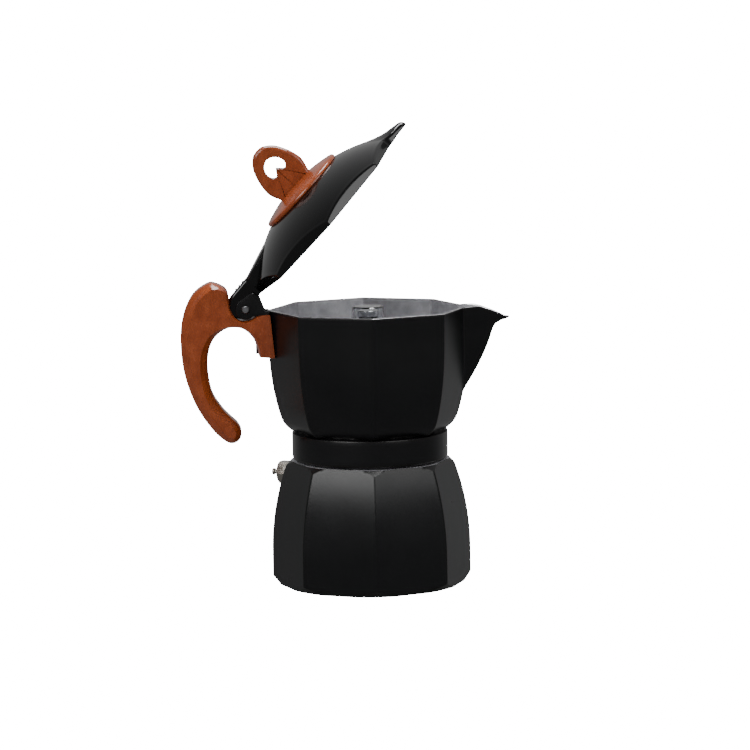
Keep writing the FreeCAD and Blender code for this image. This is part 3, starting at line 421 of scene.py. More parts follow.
@dataclass(frozen=True)
class Finish:
    """A surface finish: a shader's own values, a mottled colour, a varied roughness and a fine bump.

    Sizes are in millimetres, and colours are sRGB.
    """

    name: str
    dark: str
    light: str
    metallic: float = 0.0
    rough: tuple[float, float] = (0.4, 0.5)
    ior: float = 1.5
    coat: float = 0.0
    coat_rough: float = 0.1
    cloud_mm: float = 12.0
    grain_mm: float = 0.6
    grain_depth_mm: float = 0.01
    stretch: tuple[float, float, float] = (1.0, 1.0, 1.0)
    transmission: float = 0.0
    specular: float = 0.5

    def build(self) -> bpy.types.Material:
        """Makes the material: clouds mix the two colours and the roughness, and fine grain makes the bump.

        Returns:
            The material.
        """
        made = bpy.data.materials.new(self.name)
        made.use_nodes = True
        tree = made.node_tree
        shader = tree.nodes["Principled BSDF"]
        for key, value in (("Metallic", self.metallic), ("IOR", self.ior), ("Coat Weight", self.coat),
                           ("Coat Roughness", self.coat_rough), ("Transmission Weight", self.transmission),
                           ("Specular IOR Level", self.specular)):
            shader.inputs[key].default_value = value
        where = add(tree, "ShaderNodeTexCoord").outputs["Object"]
        coarse, fine = (tuple(1.0 / (size * MM * along) for along in self.stretch)
                        for size in (self.cloud_mm, self.grain_mm))
        wide = add(tree, "ShaderNodeMapping", {"Vector": where, "Scale": coarse}).outputs["Vector"]
        close = add(tree, "ShaderNodeMapping", {"Vector": where, "Scale": fine}).outputs["Vector"]
        cloud = add(tree, "ShaderNodeTexNoise", {"Vector": wide, "Scale": 1.0, "Detail": 4.0,
                                                  "Roughness": 0.6})
        grain = add(tree, "ShaderNodeTexNoise", {"Vector": close, "Scale": 1.0, "Detail": 2.0})
        share = add(tree, "ShaderNodeMapRange", {"Value": cloud.outputs["Fac"], "From Min": 0.35,
                                                 "From Max": 0.68})
        # sockets 6 and 7 of a colour mix are its two colours, and output 2 is the mix
        colour = add(tree, "ShaderNodeMix", {0: share.outputs["Result"], 6: linear(self.dark),
                                             7: linear(self.light)}, data_type="RGBA")
        rough = add(tree, "ShaderNodeMapRange", {"Value": cloud.outputs["Fac"], "From Min": 0.3,
                                                 "From Max": 0.7, "To Min": self.rough[0],
                                                 "To Max": self.rough[1]})
        bump = add(tree, "ShaderNodeBump", {"Height": grain.outputs["Fac"],
                                            "Distance": self.grain_depth_mm * MM})
        tree.links.new(colour.outputs[2], shader.inputs["Base Color"])
        tree.links.new(rough.outputs["Result"], shader.inputs["Roughness"])
        tree.links.new(bump.outputs["Normal"], shader.inputs["Normal"])
        return made


class Look(Enum):
    """The pot's finishes, each named for what the piece is made of and how its surface was made.

    Grains of 0.8 mm and more are drawn coarser than the real spray or sand grain, which is too fine to show.
    """

    # cast aluminium, sprayed with a satin black heat-proof coat: soft broad highlights, a faint orange peel
    BODY_COAT = Finish("satin_black_coat", "#0b0b0d", "#101012", rough=(0.27, 0.33), cloud_mm=30,
                       grain_mm=1.6, grain_depth_mm=0.003)
    # the same casting under a polished gloss black coat: tight highlights that mirror the knob's disc
    LID_COAT = Finish("gloss_black_coat", "#050506", "#070708", rough=(0.10, 0.14), cloud_mm=30, grain_mm=3.0,
                      grain_depth_mm=0.001, coat=0.3, coat_rough=0.05)
    # rim faced on a lathe, left bare: a thin bright line
    MACHINED_RIM = Finish("machined_aluminium", "#c9c9cc", "#e2e2e4", metallic=1.0, rough=(0.22, 0.30),
                          cloud_mm=4, grain_mm=0.3, grain_depth_mm=0.002)
    # cast aluminium left as it leaves the mould: pale grey with a sandy grain and cloudy patches
    CAST_INSIDE = Finish("bare_cast_aluminium", "#bcbcc1", "#d6d6da", metallic=0.45, rough=(0.42, 0.52),
                         cloud_mm=9, grain_mm=0.8, grain_depth_mm=0.04)
    # pressed and spun aluminium sheet of the funnel, plate and sieve: a soft sheen with fine rings
    SHEET = Finish("spun_aluminium", "#b4b4b8", "#cfcfd2", metallic=1.0, rough=(0.28, 0.36), cloud_mm=9,
                   grain_mm=0.25, grain_depth_mm=0.004, stretch=(1.0, 1.0, 0.15))
    # moulded bakelite with a brushed copper-brown wood effect under a satin varnish
    WOOD_EFFECT = Finish("copper_brown_bakelite", "#8a3c18", "#a24c24", rough=(0.22, 0.29), cloud_mm=3.6,
                         grain_mm=0.8, grain_depth_mm=0.004, coat=0.5, coat_rough=0.12,
                         stretch=(1.0, 1.0, 1.8))
    # turned brass with a nickel plate: a warm grey with bright faces
    NICKEL = Finish("nickel_plated_brass", "#bdb8ae", "#d8d4cc", metallic=1.0, rough=(0.16, 0.24), cloud_mm=3,
                    grain_mm=0.3, grain_depth_mm=0.002)
    # drawn and turned steel with a zinc plate: a cool grey, half bright
    STEEL = Finish("zinc_plated_steel", "#9c9da0", "#b9babd", metallic=1.0, rough=(0.26, 0.34), cloud_mm=3,
                   grain_mm=0.3, grain_depth_mm=0.002)
    # turned steel, polished and chromed: mirror bright
    CHROME = Finish("polished_chrome", "#d6d7da", "#e8e9eb", metallic=1.0, rough=(0.05, 0.09), cloud_mm=5,
                    grain_mm=0.5, grain_depth_mm=0.0005)
    # blackened steel screw: nearly black, with a dull shine
    DARK_STEEL = Finish("blackened_steel", "#2a2523", "#3a3330", metallic=0.9, rough=(0.35, 0.45), cloud_mm=2,
                        grain_mm=0.3, grain_depth_mm=0.003)
    # moulded silicone rubber: pale, soft and matt
    IVORY = Finish("ivory_silicone_rubber", "#cfc6b2", "#ddd6c6", rough=(0.5, 0.6), cloud_mm=8, grain_mm=0.5,
                   grain_depth_mm=0.006, ior=1.43)
    # pressed red fibre: dry, matt and brown-red
    FIBRE = Finish("red_fibre_washer", "#55251a", "#6b3122", rough=(0.6, 0.7), cloud_mm=2, grain_mm=0.3,
                   grain_depth_mm=0.01)
    # moulded black rubber: matt, with no clear highlight
    BLACK_RUBBER = Finish("black_rubber", "#121212", "#1b1b1b", rough=(0.5, 0.6), cloud_mm=3, grain_mm=0.4,
                          grain_depth_mm=0.004)
    # clear moulded plastic of the cap: sharp glints, and the weight shows through
    CLEAR = Finish("clear_plastic", "#f2f4f5", "#fafbfb", rough=(0.03, 0.06), cloud_mm=5, grain_mm=0.8,
                   grain_depth_mm=0.001, transmission=1.0, ior=1.49)


_BUILT: dict[Look, bpy.types.Material] = {}


def dress(look: Look) -> bpy.types.Material:
    """The material of a finish, made the first time it is asked for.

    Args:
        look: the finish.

    Returns:
        Its material.
    """
    if look not in _BUILT:
        _BUILT[look] = look.value.build()
    return _BUILT[look]


# ---------------------------------------------------------------- boiler

@dataclass
class Boiler:
    """The lower vessel: eight leaning flats, a sloped shoulder, a threaded neck and the valve's boss."""

    corner: float = 44.0
    upright_z: float = 14.0
    lean_r: float = 112.0
    height: float = 54.3
    shoulder_top: float = 34.9
    base_chamfer: float = 2.6
    rounding: float = 1.6
    wall: float = 3.0
    floor: float = 4.0
    bore: float = 27.0
    neck: float = 29.9
    neck_top: float = 63.7
    crest: float = 31.1
    boss_in: float = 33.0
    boss_out: float = 36.6
    boss_r: float = 6.6

    def leaning(self, z: np.ndarray, corner: float) -> np.ndarray:
        """Corner radius by height: upright to upright_z, then an arc of radius lean_r that bends in."""
        above = np.maximum(z - self.upright_z, 0)
        return corner - self.lean_r + np.sqrt(self.lean_r ** 2 - above ** 2)

    def outside(self, theta: np.ndarray) -> tuple[list[np.ndarray], list[np.ndarray]]:
        """Radii and heights of the outer rows, from the middle of the underside to the neck's foot.

        The base edge is where the flats meet a 45 degree cone, and the shoulder is where they meet another,
        so both edges rise and fall between the corners.

        Args:
            theta: angles about the axis, in radians.

        Returns:
            The rows' distances from the axis, and their heights.
        """
        whole = eight(theta, np.array(self.corner), self.rounding)
        cut = self.corner - self.base_chamfer
        low_r = np.minimum(whole, cut)
        low_z = np.maximum(whole - cut, 0)
        radii = [low_r * s for s in (0.0, 0.5, 0.985)]
        heights = [theta * 0, theta * 0, theta * 0]
        radii += [low_r - 0.12, low_r + low_z * 0.15]
        heights += [theta * 0 + 0.1, low_z * 0.15 + 0.4]
        crease = theta * 0 + self.height - 2
        for _ in range(20):
            reach = eight(theta, self.leaning(crease, self.corner), self.rounding)
            crease = np.minimum(self.height + self.shoulder_top - reach, self.height)
        for t in np.linspace(0, 1, 44):
            z = (low_z + 0.6) * (1 - t) + crease * t
            radii.append(eight(theta, self.leaning(z, self.corner), self.rounding))
            heights.append(z)
        top = np.minimum(radii[-1], self.shoulder_top)
        for t in (0.06, 0.5, 1.0):
            radii.append(radii[-1] * (1 - t) + top * t)
            heights.append(crease * (1 - t) + self.height * t)
        return radii, heights

    def build(self) -> None:
        """Makes the vessel, its thread and the valve's boss."""
        theta = corner_angles()
        radii, heights = self.outside(theta)
        outer_rows = len(radii)
        flat_r = FLAT * self.corner - self.wall
        shoulder_z = self.height - 4.3
        inner = [(self.neck, self.height), (self.neck, self.neck_top - 0.3), (self.neck - 0.3, self.neck_top),
                 (self.bore + 0.3, self.neck_top), (self.bore, self.neck_top - 0.3),
                 (self.bore, self.height - 0.5)]
        for z in np.linspace(shoulder_z, self.upright_z, 10):
            inner.append((float(self.leaning(np.array(z), flat_r)), float(z)))
        inner += [(flat_r, self.floor + 3), (flat_r - 1, self.floor + 1), (flat_r - 3, self.floor),
                  (0.0, self.floor)]
        radii += [theta * 0 + r for r, _ in inner]
        heights += [theta * 0 + z for _, z in inner]
        finish = np.full(len(radii) - 1, 1)
        finish[:outer_rows - 1] = 0
        shell = Shell()
        shell.grid(revolve(np.array(radii), np.array(heights), theta), finish)
        looks = [dress(Look.BODY_COAT), dress(Look.CAST_INSIDE)]
        vessel = piece("boiler_vessel", shell, "boiler", looks)
        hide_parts("boiler")
        ridge = thread_ridge(self.neck - 0.3, self.crest, 0.0)
        piece("boiler_thread", ridge, "boiler", [dress(Look.CAST_INSIDE)])
        self.boss()

    def boss(self) -> None:
        """Makes the round boss that the safety valve screws into, square to the valve's axis."""
        out, r = self.boss_out, self.boss_r
        section = [(self.boss_in, 0.0), (self.boss_in, r), (out - 0.4, r), (out - 0.1, r - 0.15),
                   (out, r - 0.5), (out, 0.0)]
        shell = Shell()
        shell.grid(on_valve_axis(section))
        piece("valve_boss", shell, "boiler", [dress(Look.BODY_COAT)])


def on_valve_axis(section: list[tuple[float, float]], steps: int = 40) -> np.ndarray:
    """Turns a section about the valve's axis, which leaves the boiler level.

    Args:
        section: pairs of distance along the axis from the pot's middle, and radius, in mm.
        steps: points about the axis.

    Returns:
        A grid of points, section by steps by three.
    """
    azimuth, height = math.radians(157.5), 46.6
    s = np.array([p[0] for p in section])[:, None]
    r = np.array([p[1] for p in section])[:, None]
    turn = np.linspace(0, TURN, steps, endpoint=False)[None, :]
    across, up = r * np.cos(turn), r * np.sin(turn)
    s = np.broadcast_to(s, across.shape)
    return np.stack([s * math.cos(azimuth) - across * math.sin(azimuth),
                     s * math.sin(azimuth) + across * math.cos(azimuth), height + up], 2)


def corner_angles(spout: bool = False) -> np.ndarray:
    """Angles about the axis for a full turn, close together at the eight corners.

    Args:
        spout: whether they are also close together at the spout.

    Returns:
        Rising angles, in radians.
    """
    near = np.radians([0, 0.25, 0.5, 0.75, 1.1, 1.6, 2.5, 4, 6, 9, 12, 15, 18, 20.5])
    sector = np.concatenate([-near[:0:-1], near])
    middles = HALF_EIGHTH + np.arange(8) * EIGHTH
    theta = np.concatenate([k * EIGHTH + sector for k in range(8)] + [middles])
    if spout:
        theta = theta[off_front(theta) > math.radians(15.5)]
        theta = np.concatenate([theta, np.radians(np.linspace(-15, 15, 91))])
    return np.unique(np.round(theta % TURN, 7))


def thread_ridge(root: float, crest: float, start_deg: float) -> Shell:
    """A helical ridge of trapezoid section, capped at both ends.

    A point of the section at height h sits, at angle a, at the start's height + pitch * a / 360 + h.

    Args:
        root: distance from the axis to the ridge's foot, in mm.
        crest: distance from the axis to its crest, in mm.
        start_deg: where the thread starts, in degrees from the spout.

    Returns:
        The closed ridge.
    """
    section = [(root, -0.75), (crest, -0.3), (crest, 0.3), (root, 0.75)]
    angle = np.linspace(0, THREAD_TURNS * TURN, 160)
    z = THREAD_START_Z + THREAD_PITCH * angle / TURN
    turned = angle + math.radians(start_deg)
    rows = [np.stack([r * np.cos(turned), r * np.sin(turned), z + h], 1) for r, h in section]
    grid = np.array(rows)
    shell = Shell()
    shell.grid(grid, loop_rows=True, loop_columns=False)
    shell.cap(grid[:, 0])
    shell.cap(grid[:, -1])
    return shell


# ---------------------------------------------------------------- chamber

@dataclass
class Chamber:
    """The upper vessel with its spout, screw collar and column, and the lug and ears of the hinge."""

    rim_z: float = 121.0
    foot_z: float = 67.6
    floor_z: float = 71.0
    wall: float = 1.7
    rounding: float = 1.8
    collar_r: float = 34.3
    collar_low: float = 54.8
    collar_top: float = 66.9
    spout_tip_x: float = 61.2
    spout_drop: float = 4.7
    spout_level_x: float = 47.0
    lip_crest: float = 0.4
    lip_crest_x: float = 48.0
    lip_crest_width: float = 3.4
    spout_root_x: float = 36.0
    nose: float = 2.2
    thread_root: float = 31.4
    # (height, corner radius) of the wall: a sloped foot, a bend outwards and an upright top
    wall_line: Profile = ((67.6, 34.6), (69.5, 36.8), (71.4, 38.2), (73.4, 39.1), (76.7, 40.1), (80.2, 41.0),
                          (85.0, 42.0), (90.0, 42.8), (96.0, 43.5), (104.0, 43.95), (121.0, 44.4))
    # (height, reach) of the spout's nose, with a small flare under the lip
    keel_line: Profile = ((78.0, 36.0), (83.2, 41.0), (90.7, 45.9), (97.7, 49.7), (104.7, 52.8),
                          (111.0, 55.0), (113.0, 56.2), (114.6, 59.0), (115.6, 62.0), (121.0, 68.0))
    # (height, half-width) of the spout at its root
    cheek_line: Profile = ((80.0, 3.2), (87.0, 5.1), (97.0, 6.9), (106.0, 7.9), (112.0, 8.2))
    # (radius, height) of the column, from its foot up, over its top and down its bore
    column: Profile = ((12.0, 71.0), (10.2, 71.1), (9.0, 71.8), (8.5, 73.0), (7.2, 90.0), (6.05, 105.0),
                       (6.0, 106.2), (6.0, 109.6), (5.7, 110.0), (3.3, 110.0), (3.3, 106.0), (2.4, 106.0),
                       (2.4, 69.4))
    # (radius, height) of the underside, from the bore's mouth to the seat of the sealing ring
    underside: Profile = ((24.4, 68.2), (24.4, 67.8), (30.4, 67.8), (30.4, 63.7), (31.4, 63.7))

    def corner_at(self, z: np.ndarray) -> np.ndarray:
        """Corner radius of the wall by height, read off its line."""
        return np.interp(z, *np.transpose(self.wall_line))

    def keel_at(self, z: np.ndarray) -> np.ndarray:
        """How far forward the spout's nose reaches by height: a smooth curve through its points."""
        line = spline(list(self.keel_line), 12)
        return np.interp(z, line[:, 0], line[:, 1])

    def spout_at(self, theta: np.ndarray, z: np.ndarray, inset: float) -> np.ndarray:
        """Distance from the axis to the spout, a kite that grows with height.

        Args:
            theta: angles about the axis, in radians.
            z: heights, in mm.
            inset: how far inside the outer face, in mm.

        Returns:
            Distances in mm, and 0 where there is no spout.
        """
        keel = self.keel_at(z) - inset * 1.15
        half = np.interp(z, *np.transpose(self.cheek_line)) - inset
        found = kite(theta, self.spout_root_x, half, self.nose - inset * 0.5, keel)
        return np.where((off_front(theta) < math.radians(40)) & (keel > self.spout_root_x + 1), found, 0.0)

    def radius(self, theta: np.ndarray, z: np.ndarray, inset: float) -> np.ndarray:
        """The wall's distance from the axis: the larger of the body and the spout, softly joined."""
        body = eight(theta, self.corner_at(z) - inset / FLAT, self.rounding)
        return smooth_max(body, self.spout_at(theta, z, inset), 0.9)

    def lip(self, theta: np.ndarray) -> np.ndarray:
        """Height of the rim by angle: level, a small crest where the spout starts, then a fall to its tip.

        The crest is a bell in x, and the fall goes with the 1.5th power of the reach. The wall's reach
        depends on the height that is sought, so the two are brought together in small steps.

        Args:
            theta: angles about the axis, in radians.

        Returns:
            Heights in mm.
        """
        z = theta * 0 + self.rim_z
        for _ in range(30):
            x = self.radius(theta, z, 0.0) * np.cos(theta)
            share = np.clip((x - self.spout_level_x) / (self.spout_tip_x - self.spout_level_x), 0, 1)
            crest = self.lip_crest * np.exp(-((x - self.lip_crest_x) / self.lip_crest_width) ** 2)
            z = 0.5 * z + 0.5 * (self.rim_z + crest - self.spout_drop * share ** 1.5)
        return z

    def build(self) -> None:
        """Makes the vessel, its inner thread, and the hinge's lug and ears."""
        theta = corner_angles(spout=True)
        top = self.lip(theta)
        flat = theta * 0
        radii: list[np.ndarray] = []
        heights: list[np.ndarray] = []
        finish: list[int] = []

        def row(radius: np.ndarray | float, height: np.ndarray | float, look: int) -> None:
            """Adds one row.

            Args:
                radius: distance from the axis, in mm.
                height: its height, in mm.
                look: finish index of the faces that lead up to it.
            """
            radii.append(radius + flat)
            heights.append(height + flat)
            finish.append(look)

        coat, bare, rim = 0, 1, 2
        low, high, collar = self.collar_low, self.collar_top, self.collar_r
        row(self.thread_root, low, bare)
        row(collar - 0.9, low, bare)
        for r, z in [(collar - 0.7, low + 0.15), (collar - 0.12, low + 1.05),
                     *((collar, z) for z in np.linspace(low + 1.4, high - 0.6, 6)),
                     (collar - 0.15, high - 0.15), (collar - 0.5, high), (collar - 0.9, high + 0.05),
                     (collar - 1.8, self.foot_z - 0.35), (collar - 2.1, self.foot_z - 0.1)]:
            row(r, z, coat)
        for t in np.concatenate([np.linspace(0, 0.1, 8)[:-1], np.linspace(0.1, 0.97, 30), [0.985]]):
            z = self.foot_z * (1 - t) + (top - 0.45) * t
            row(self.radius(theta, z, 0.0), z, coat)
        outer = self.radius(theta, top - 0.45, 0.0)
        inner = np.minimum(self.radius(theta, top - 0.4, self.wall), outer - 1.0)
        row(outer, top - 0.45, coat)
        row(outer - 0.08, top - 0.14, coat)
        row(outer - 0.34, top, rim)
        row(inner + 0.3, top, rim)
        row(inner + 0.06, top - 0.1, rim)
        row(inner, top - 0.4, bare)
        for t in np.linspace(0.03, 1, 30):
            z = (top - 0.4) * (1 - t) + (self.floor_z + 2.0) * t
            row(np.minimum(self.radius(theta, z, self.wall), outer - 1.0), z, bare)
        foot = self.radius(theta, self.floor_z + 2.0 + flat, self.wall)
        for share, rise in ((0.985, 1.0), (0.955, 0.35), (0.91, 0.0), (0.6, 0.0)):
            row(foot * share, self.floor_z + rise, bare)
        for r, z in self.column + self.underside:
            row(r, z, bare)
        shell = Shell()
        looks = np.array(finish[1:] + [bare])
        shell.grid(revolve(np.array(radii), np.array(heights), theta), looks, loop_rows=True)
        materials = [dress(look) for look in (Look.BODY_COAT, Look.CAST_INSIDE, Look.MACHINED_RIM)]
        vessel = piece("chamber_vessel", shell, "chamber", materials)
        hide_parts("upper_chamber")
        ridge = thread_ridge(self.thread_root + 0.3, self.thread_root - 1.2, 180.0)
        piece("collar_thread", ridge, "chamber", [dress(Look.CAST_INSIDE)])
        self.hinge_parts()

    def hinge_parts(self) -> None:
        """Makes the block behind the rim and the two ears that hold the pin."""
        x, z, boss = Pin.X, Pin.Z, 4.4
        lug = rounded([(-46.6, 102.0), (-42.6, 102.0), (-42.6, 119.2), (-46.6, 119.2)], 0.8)
        block = plate(lug, eased_rows(6.1, 0.4), 0.4)
        piece("hinge_lug", block, "chamber", [dress(Look.BODY_COAT)])
        reach = math.hypot(3.4, 7.6)
        leave = math.atan2(7.6, 3.4) + math.acos(boss / reach)
        meet = TURN - math.asin(3.0 / boss)
        turn = np.linspace(leave, meet, 40)
        arc = np.stack([x + boss * np.cos(turn), z + boss * np.sin(turn)], 1)
        start, end = arc[0], arc[-1]
        outline = rounded([tuple(start), tuple(end), (-46.6, z - 3.0), (-46.6, 113.5), (-43.2, 113.5),
                           (-43.2, 120.9), (-45.1, 121.0), (x + 6.0, z + 5.6), (x + 3.4, z + 7.6)],
                          [0.01, 0.01, 0.5, 0.5, 0.5, 0.5, 0.8, 0.9, 1.4])
        outline = np.vstack([arc, outline[12:]])
        for side, name in ((-1, "near_hinge_ear"), (1, "far_hinge_ear")):
            shell = plate(outline, [(y + side * 5.1, s) for y, s in eased_rows(1.1, 0.45)], 0.45)
            piece(name, shell, "chamber", [dress(Look.BODY_COAT)])


# ---------------------------------------------------------------- lid

class Pin:
    """The hinge pin's place, and the turn that opens whatever hangs on it."""

    X = -53.6
    Z = 121.9
    OPEN = math.radians(48.0)

    @classmethod
    def swing(cls, points: np.ndarray) -> np.ndarray:
        """Turns points about the pin to the open rest angle: (u, v) goes to (u c - v s, u s + v c).

        Args:
            points: places with the lid closed, in mm, with x, y and z last.

        Returns:
            The same places with the lid open.
        """
        u, v = points[..., 0] - cls.X, points[..., 2] - cls.Z
        c, s = math.cos(cls.OPEN), math.sin(cls.OPEN)
        return np.stack([cls.X + u * c - v * s, points[..., 1], cls.Z + u * s + v * c], -1)

    @classmethod
    def swing_shell(cls, shell: Shell) -> Shell:
        """Opens a whole shell."""
        shell.points = [cls.swing(p) for p in shell.points]
        return shell


@dataclass
class Lid:
    """The domed lid: eight short flats under a ball-shaped top, a beak over the spout and the hinge arm."""

    low: float = 121.3
    corner: float = 44.8
    rise: float = 18.3
    edge: float = 2.0
    wall: float = 1.6
    rounding: float = 1.2
    beak_x: float = 53.2
    beak_nose: float = 3.0
    beak_run: float = 9.0
    beak_half: float = 11.0
    beak_top: float = 126.1
    beak_relief: float = 0.35

    @property
    def ball(self) -> float:
        """Radius of the dome: the ball through its top and through the flats' upper corners."""
        up = self.rise - self.edge
        return (up ** 2 + self.corner ** 2) / (2 * up)

    @property
    def centre(self) -> float:
        """Height of the ball's centre with the lid closed."""
        return self.low + self.rise - self.ball

    def dome(self, r: np.ndarray, grow: float = 0.0) -> np.ndarray:
        """Height of the dome, grown by grow, at distance r from the axis: a circle's upper half."""
        return self.centre + np.sqrt((self.ball + grow) ** 2 - r ** 2)

    def outline(self, theta: np.ndarray) -> np.ndarray:
        """The rim's distance from the axis: eight sides and the beak's kite, softly joined.

        Args:
            theta: angles about the axis, in radians.

        Returns:
            Distances in mm.
        """
        body = eight(theta, np.array(self.corner), self.rounding)
        beak = kite(theta, self.corner - self.beak_run, self.beak_half, self.beak_nose, self.beak_x)
        return smooth_max(body, np.where(off_front(theta) < math.radians(30), beak, 0), 1.6)

    def top(self, r: np.ndarray, theta: np.ndarray) -> np.ndarray:
        """Height of the upper face: the dome or, in front, the higher of it and the beak's ridge.

        The ridge falls evenly along x and as the square of y, and is softly joined to the dome.

        Args:
            r: distances from the axis, in mm.
            theta: angles about it, in radians.

        Returns:
            Heights in mm.
        """
        x, y = r * np.cos(theta), r * np.sin(theta)
        ridge = self.beak_top - 0.22 * (x - self.corner) - 0.05 * y ** 2
        return np.where(x > 20, smooth_max(self.dome(r), ridge, 3.0), self.dome(r))

    def build(self) -> None:
        """Makes the cover with its beak, and the arm."""
        theta = corner_angles(spout=True)
        out = self.outline(theta)
        inn = eight(theta, np.array(self.corner - self.wall / FLAT), self.rounding)
        beak = np.clip((out - self.corner) / (self.beak_x - self.corner), 0, 1)
        low = self.low + self.beak_relief * np.clip(beak * 4, 0, 1)
        shares = np.concatenate([np.linspace(0, 0.7, 16)[:-1], np.linspace(0.7, 0.975, 20)])
        rows = [(out * s, self.top(out * s, theta)) for s in shares]
        edge = self.top(out - 0.7, theta)
        fall = np.minimum(self.top(out, theta) - 0.35, edge)
        soft = 0.3 + 1.2 * beak
        fall = fall - 1.5 * beak
        rows[-1] = (out - 0.8 - soft, self.top(out - 0.8 - soft, theta))
        rows += [(out - 0.4 - soft * 0.6, edge), (out - 0.1 - soft * 0.2, edge * 0.6 + fall * 0.4),
                 (out, fall)]
        rows += [(out, fall * (1 - t) + (low + 0.3) * t) for t in (0.3, 0.7, 1.0)]
        rows += [(out - 0.25, low), (inn + 0.2, low), (inn, low + 0.2)]
        rows += [(inn, self.dome(inn, -self.wall))]
        rows += [(inn * s, self.dome(inn * s, -self.wall)) for s in np.linspace(1, 0, 24)[1:]]
        shell = Shell()
        grid = revolve(np.array([r for r, _ in rows]), np.array([z for _, z in rows]), theta)
        shell.grid(Pin.swing(grid))
        cover = piece("lid_cover", shell, "lid", [dress(Look.LID_COAT)])
        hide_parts("lid")
        self.arm()

    def arm(self) -> None:
        """Makes the arm from the pin to the dome.

        Sections across it are rounded rectangles: a turn's cosine and sine, each raised to a small power.
        Their half-width, top and bottom are read along the arm.
        """
        eye, eye_u, eye_v = 6.2, 0.4, 2.2
        round_end = -eye * np.cos(np.linspace(0.06, math.pi / 2, 12)) + eye_u
        along = np.concatenate([round_end, np.linspace(1.4, 27, 40)])
        drop = np.sqrt(np.maximum(eye ** 2 - np.minimum(along - eye_u, 0) ** 2, 0))
        upper = np.interp(along, [0.4, 11.0, 19.0, 27.0], [8.4, 8.5, 10.4, 12.3])
        lower = np.interp(along, [0.4, 3.4, 8.0, 27.0], [-4.0, -1.4, -0.6, -0.4])
        top = np.where(along < eye_u, eye_v + drop, upper)
        low = np.where(along < eye_u, eye_v - drop, lower)
        half = np.interp(along, [-6, 10.0, 13.0, 17.0, 27.0], [3.7, 3.7, 5.6, 7.6, 8.2])
        turn = np.linspace(0, TURN, 48, endpoint=False)
        power = 0.28
        across = np.sign(np.cos(turn)) * np.abs(np.cos(turn)) ** power
        upward = np.sign(np.sin(turn)) * np.abs(np.sin(turn)) ** power
        y = half[:, None] * across[None, :]
        v = ((top + low) / 2)[:, None] + ((top - low) / 2)[:, None] * upward[None, :]
        x = np.broadcast_to(along[:, None] + Pin.X, y.shape)
        shell = Shell()
        grid = np.stack([x, y, Pin.Z + v], 2)
        shell.grid(grid)
        shell.cap(grid[0])
        shell.cap(grid[-1])
        for k in range(3):
            u = 2.8 + 2.2 * k
            rib = rounded([(u, 8.1), (u + 1.3, 8.1), (u + 0.95, 8.75), (u + 0.35, 8.75)], 0.15, 4)
            bar = plate(rib + (Pin.X, Pin.Z), eased_rows(3.3, 0.14), 0.14)
            shell.faces += [[i + shell.count for i in face] for face in bar.faces]
            shell.finish += bar.finish
            shell.points += bar.points
            shell.count += bar.count
        piece("lid_arm", Pin.swing_shell(shell), "lid", [dress(Look.LID_COAT)])


# ---------------------------------------------------------------- knob

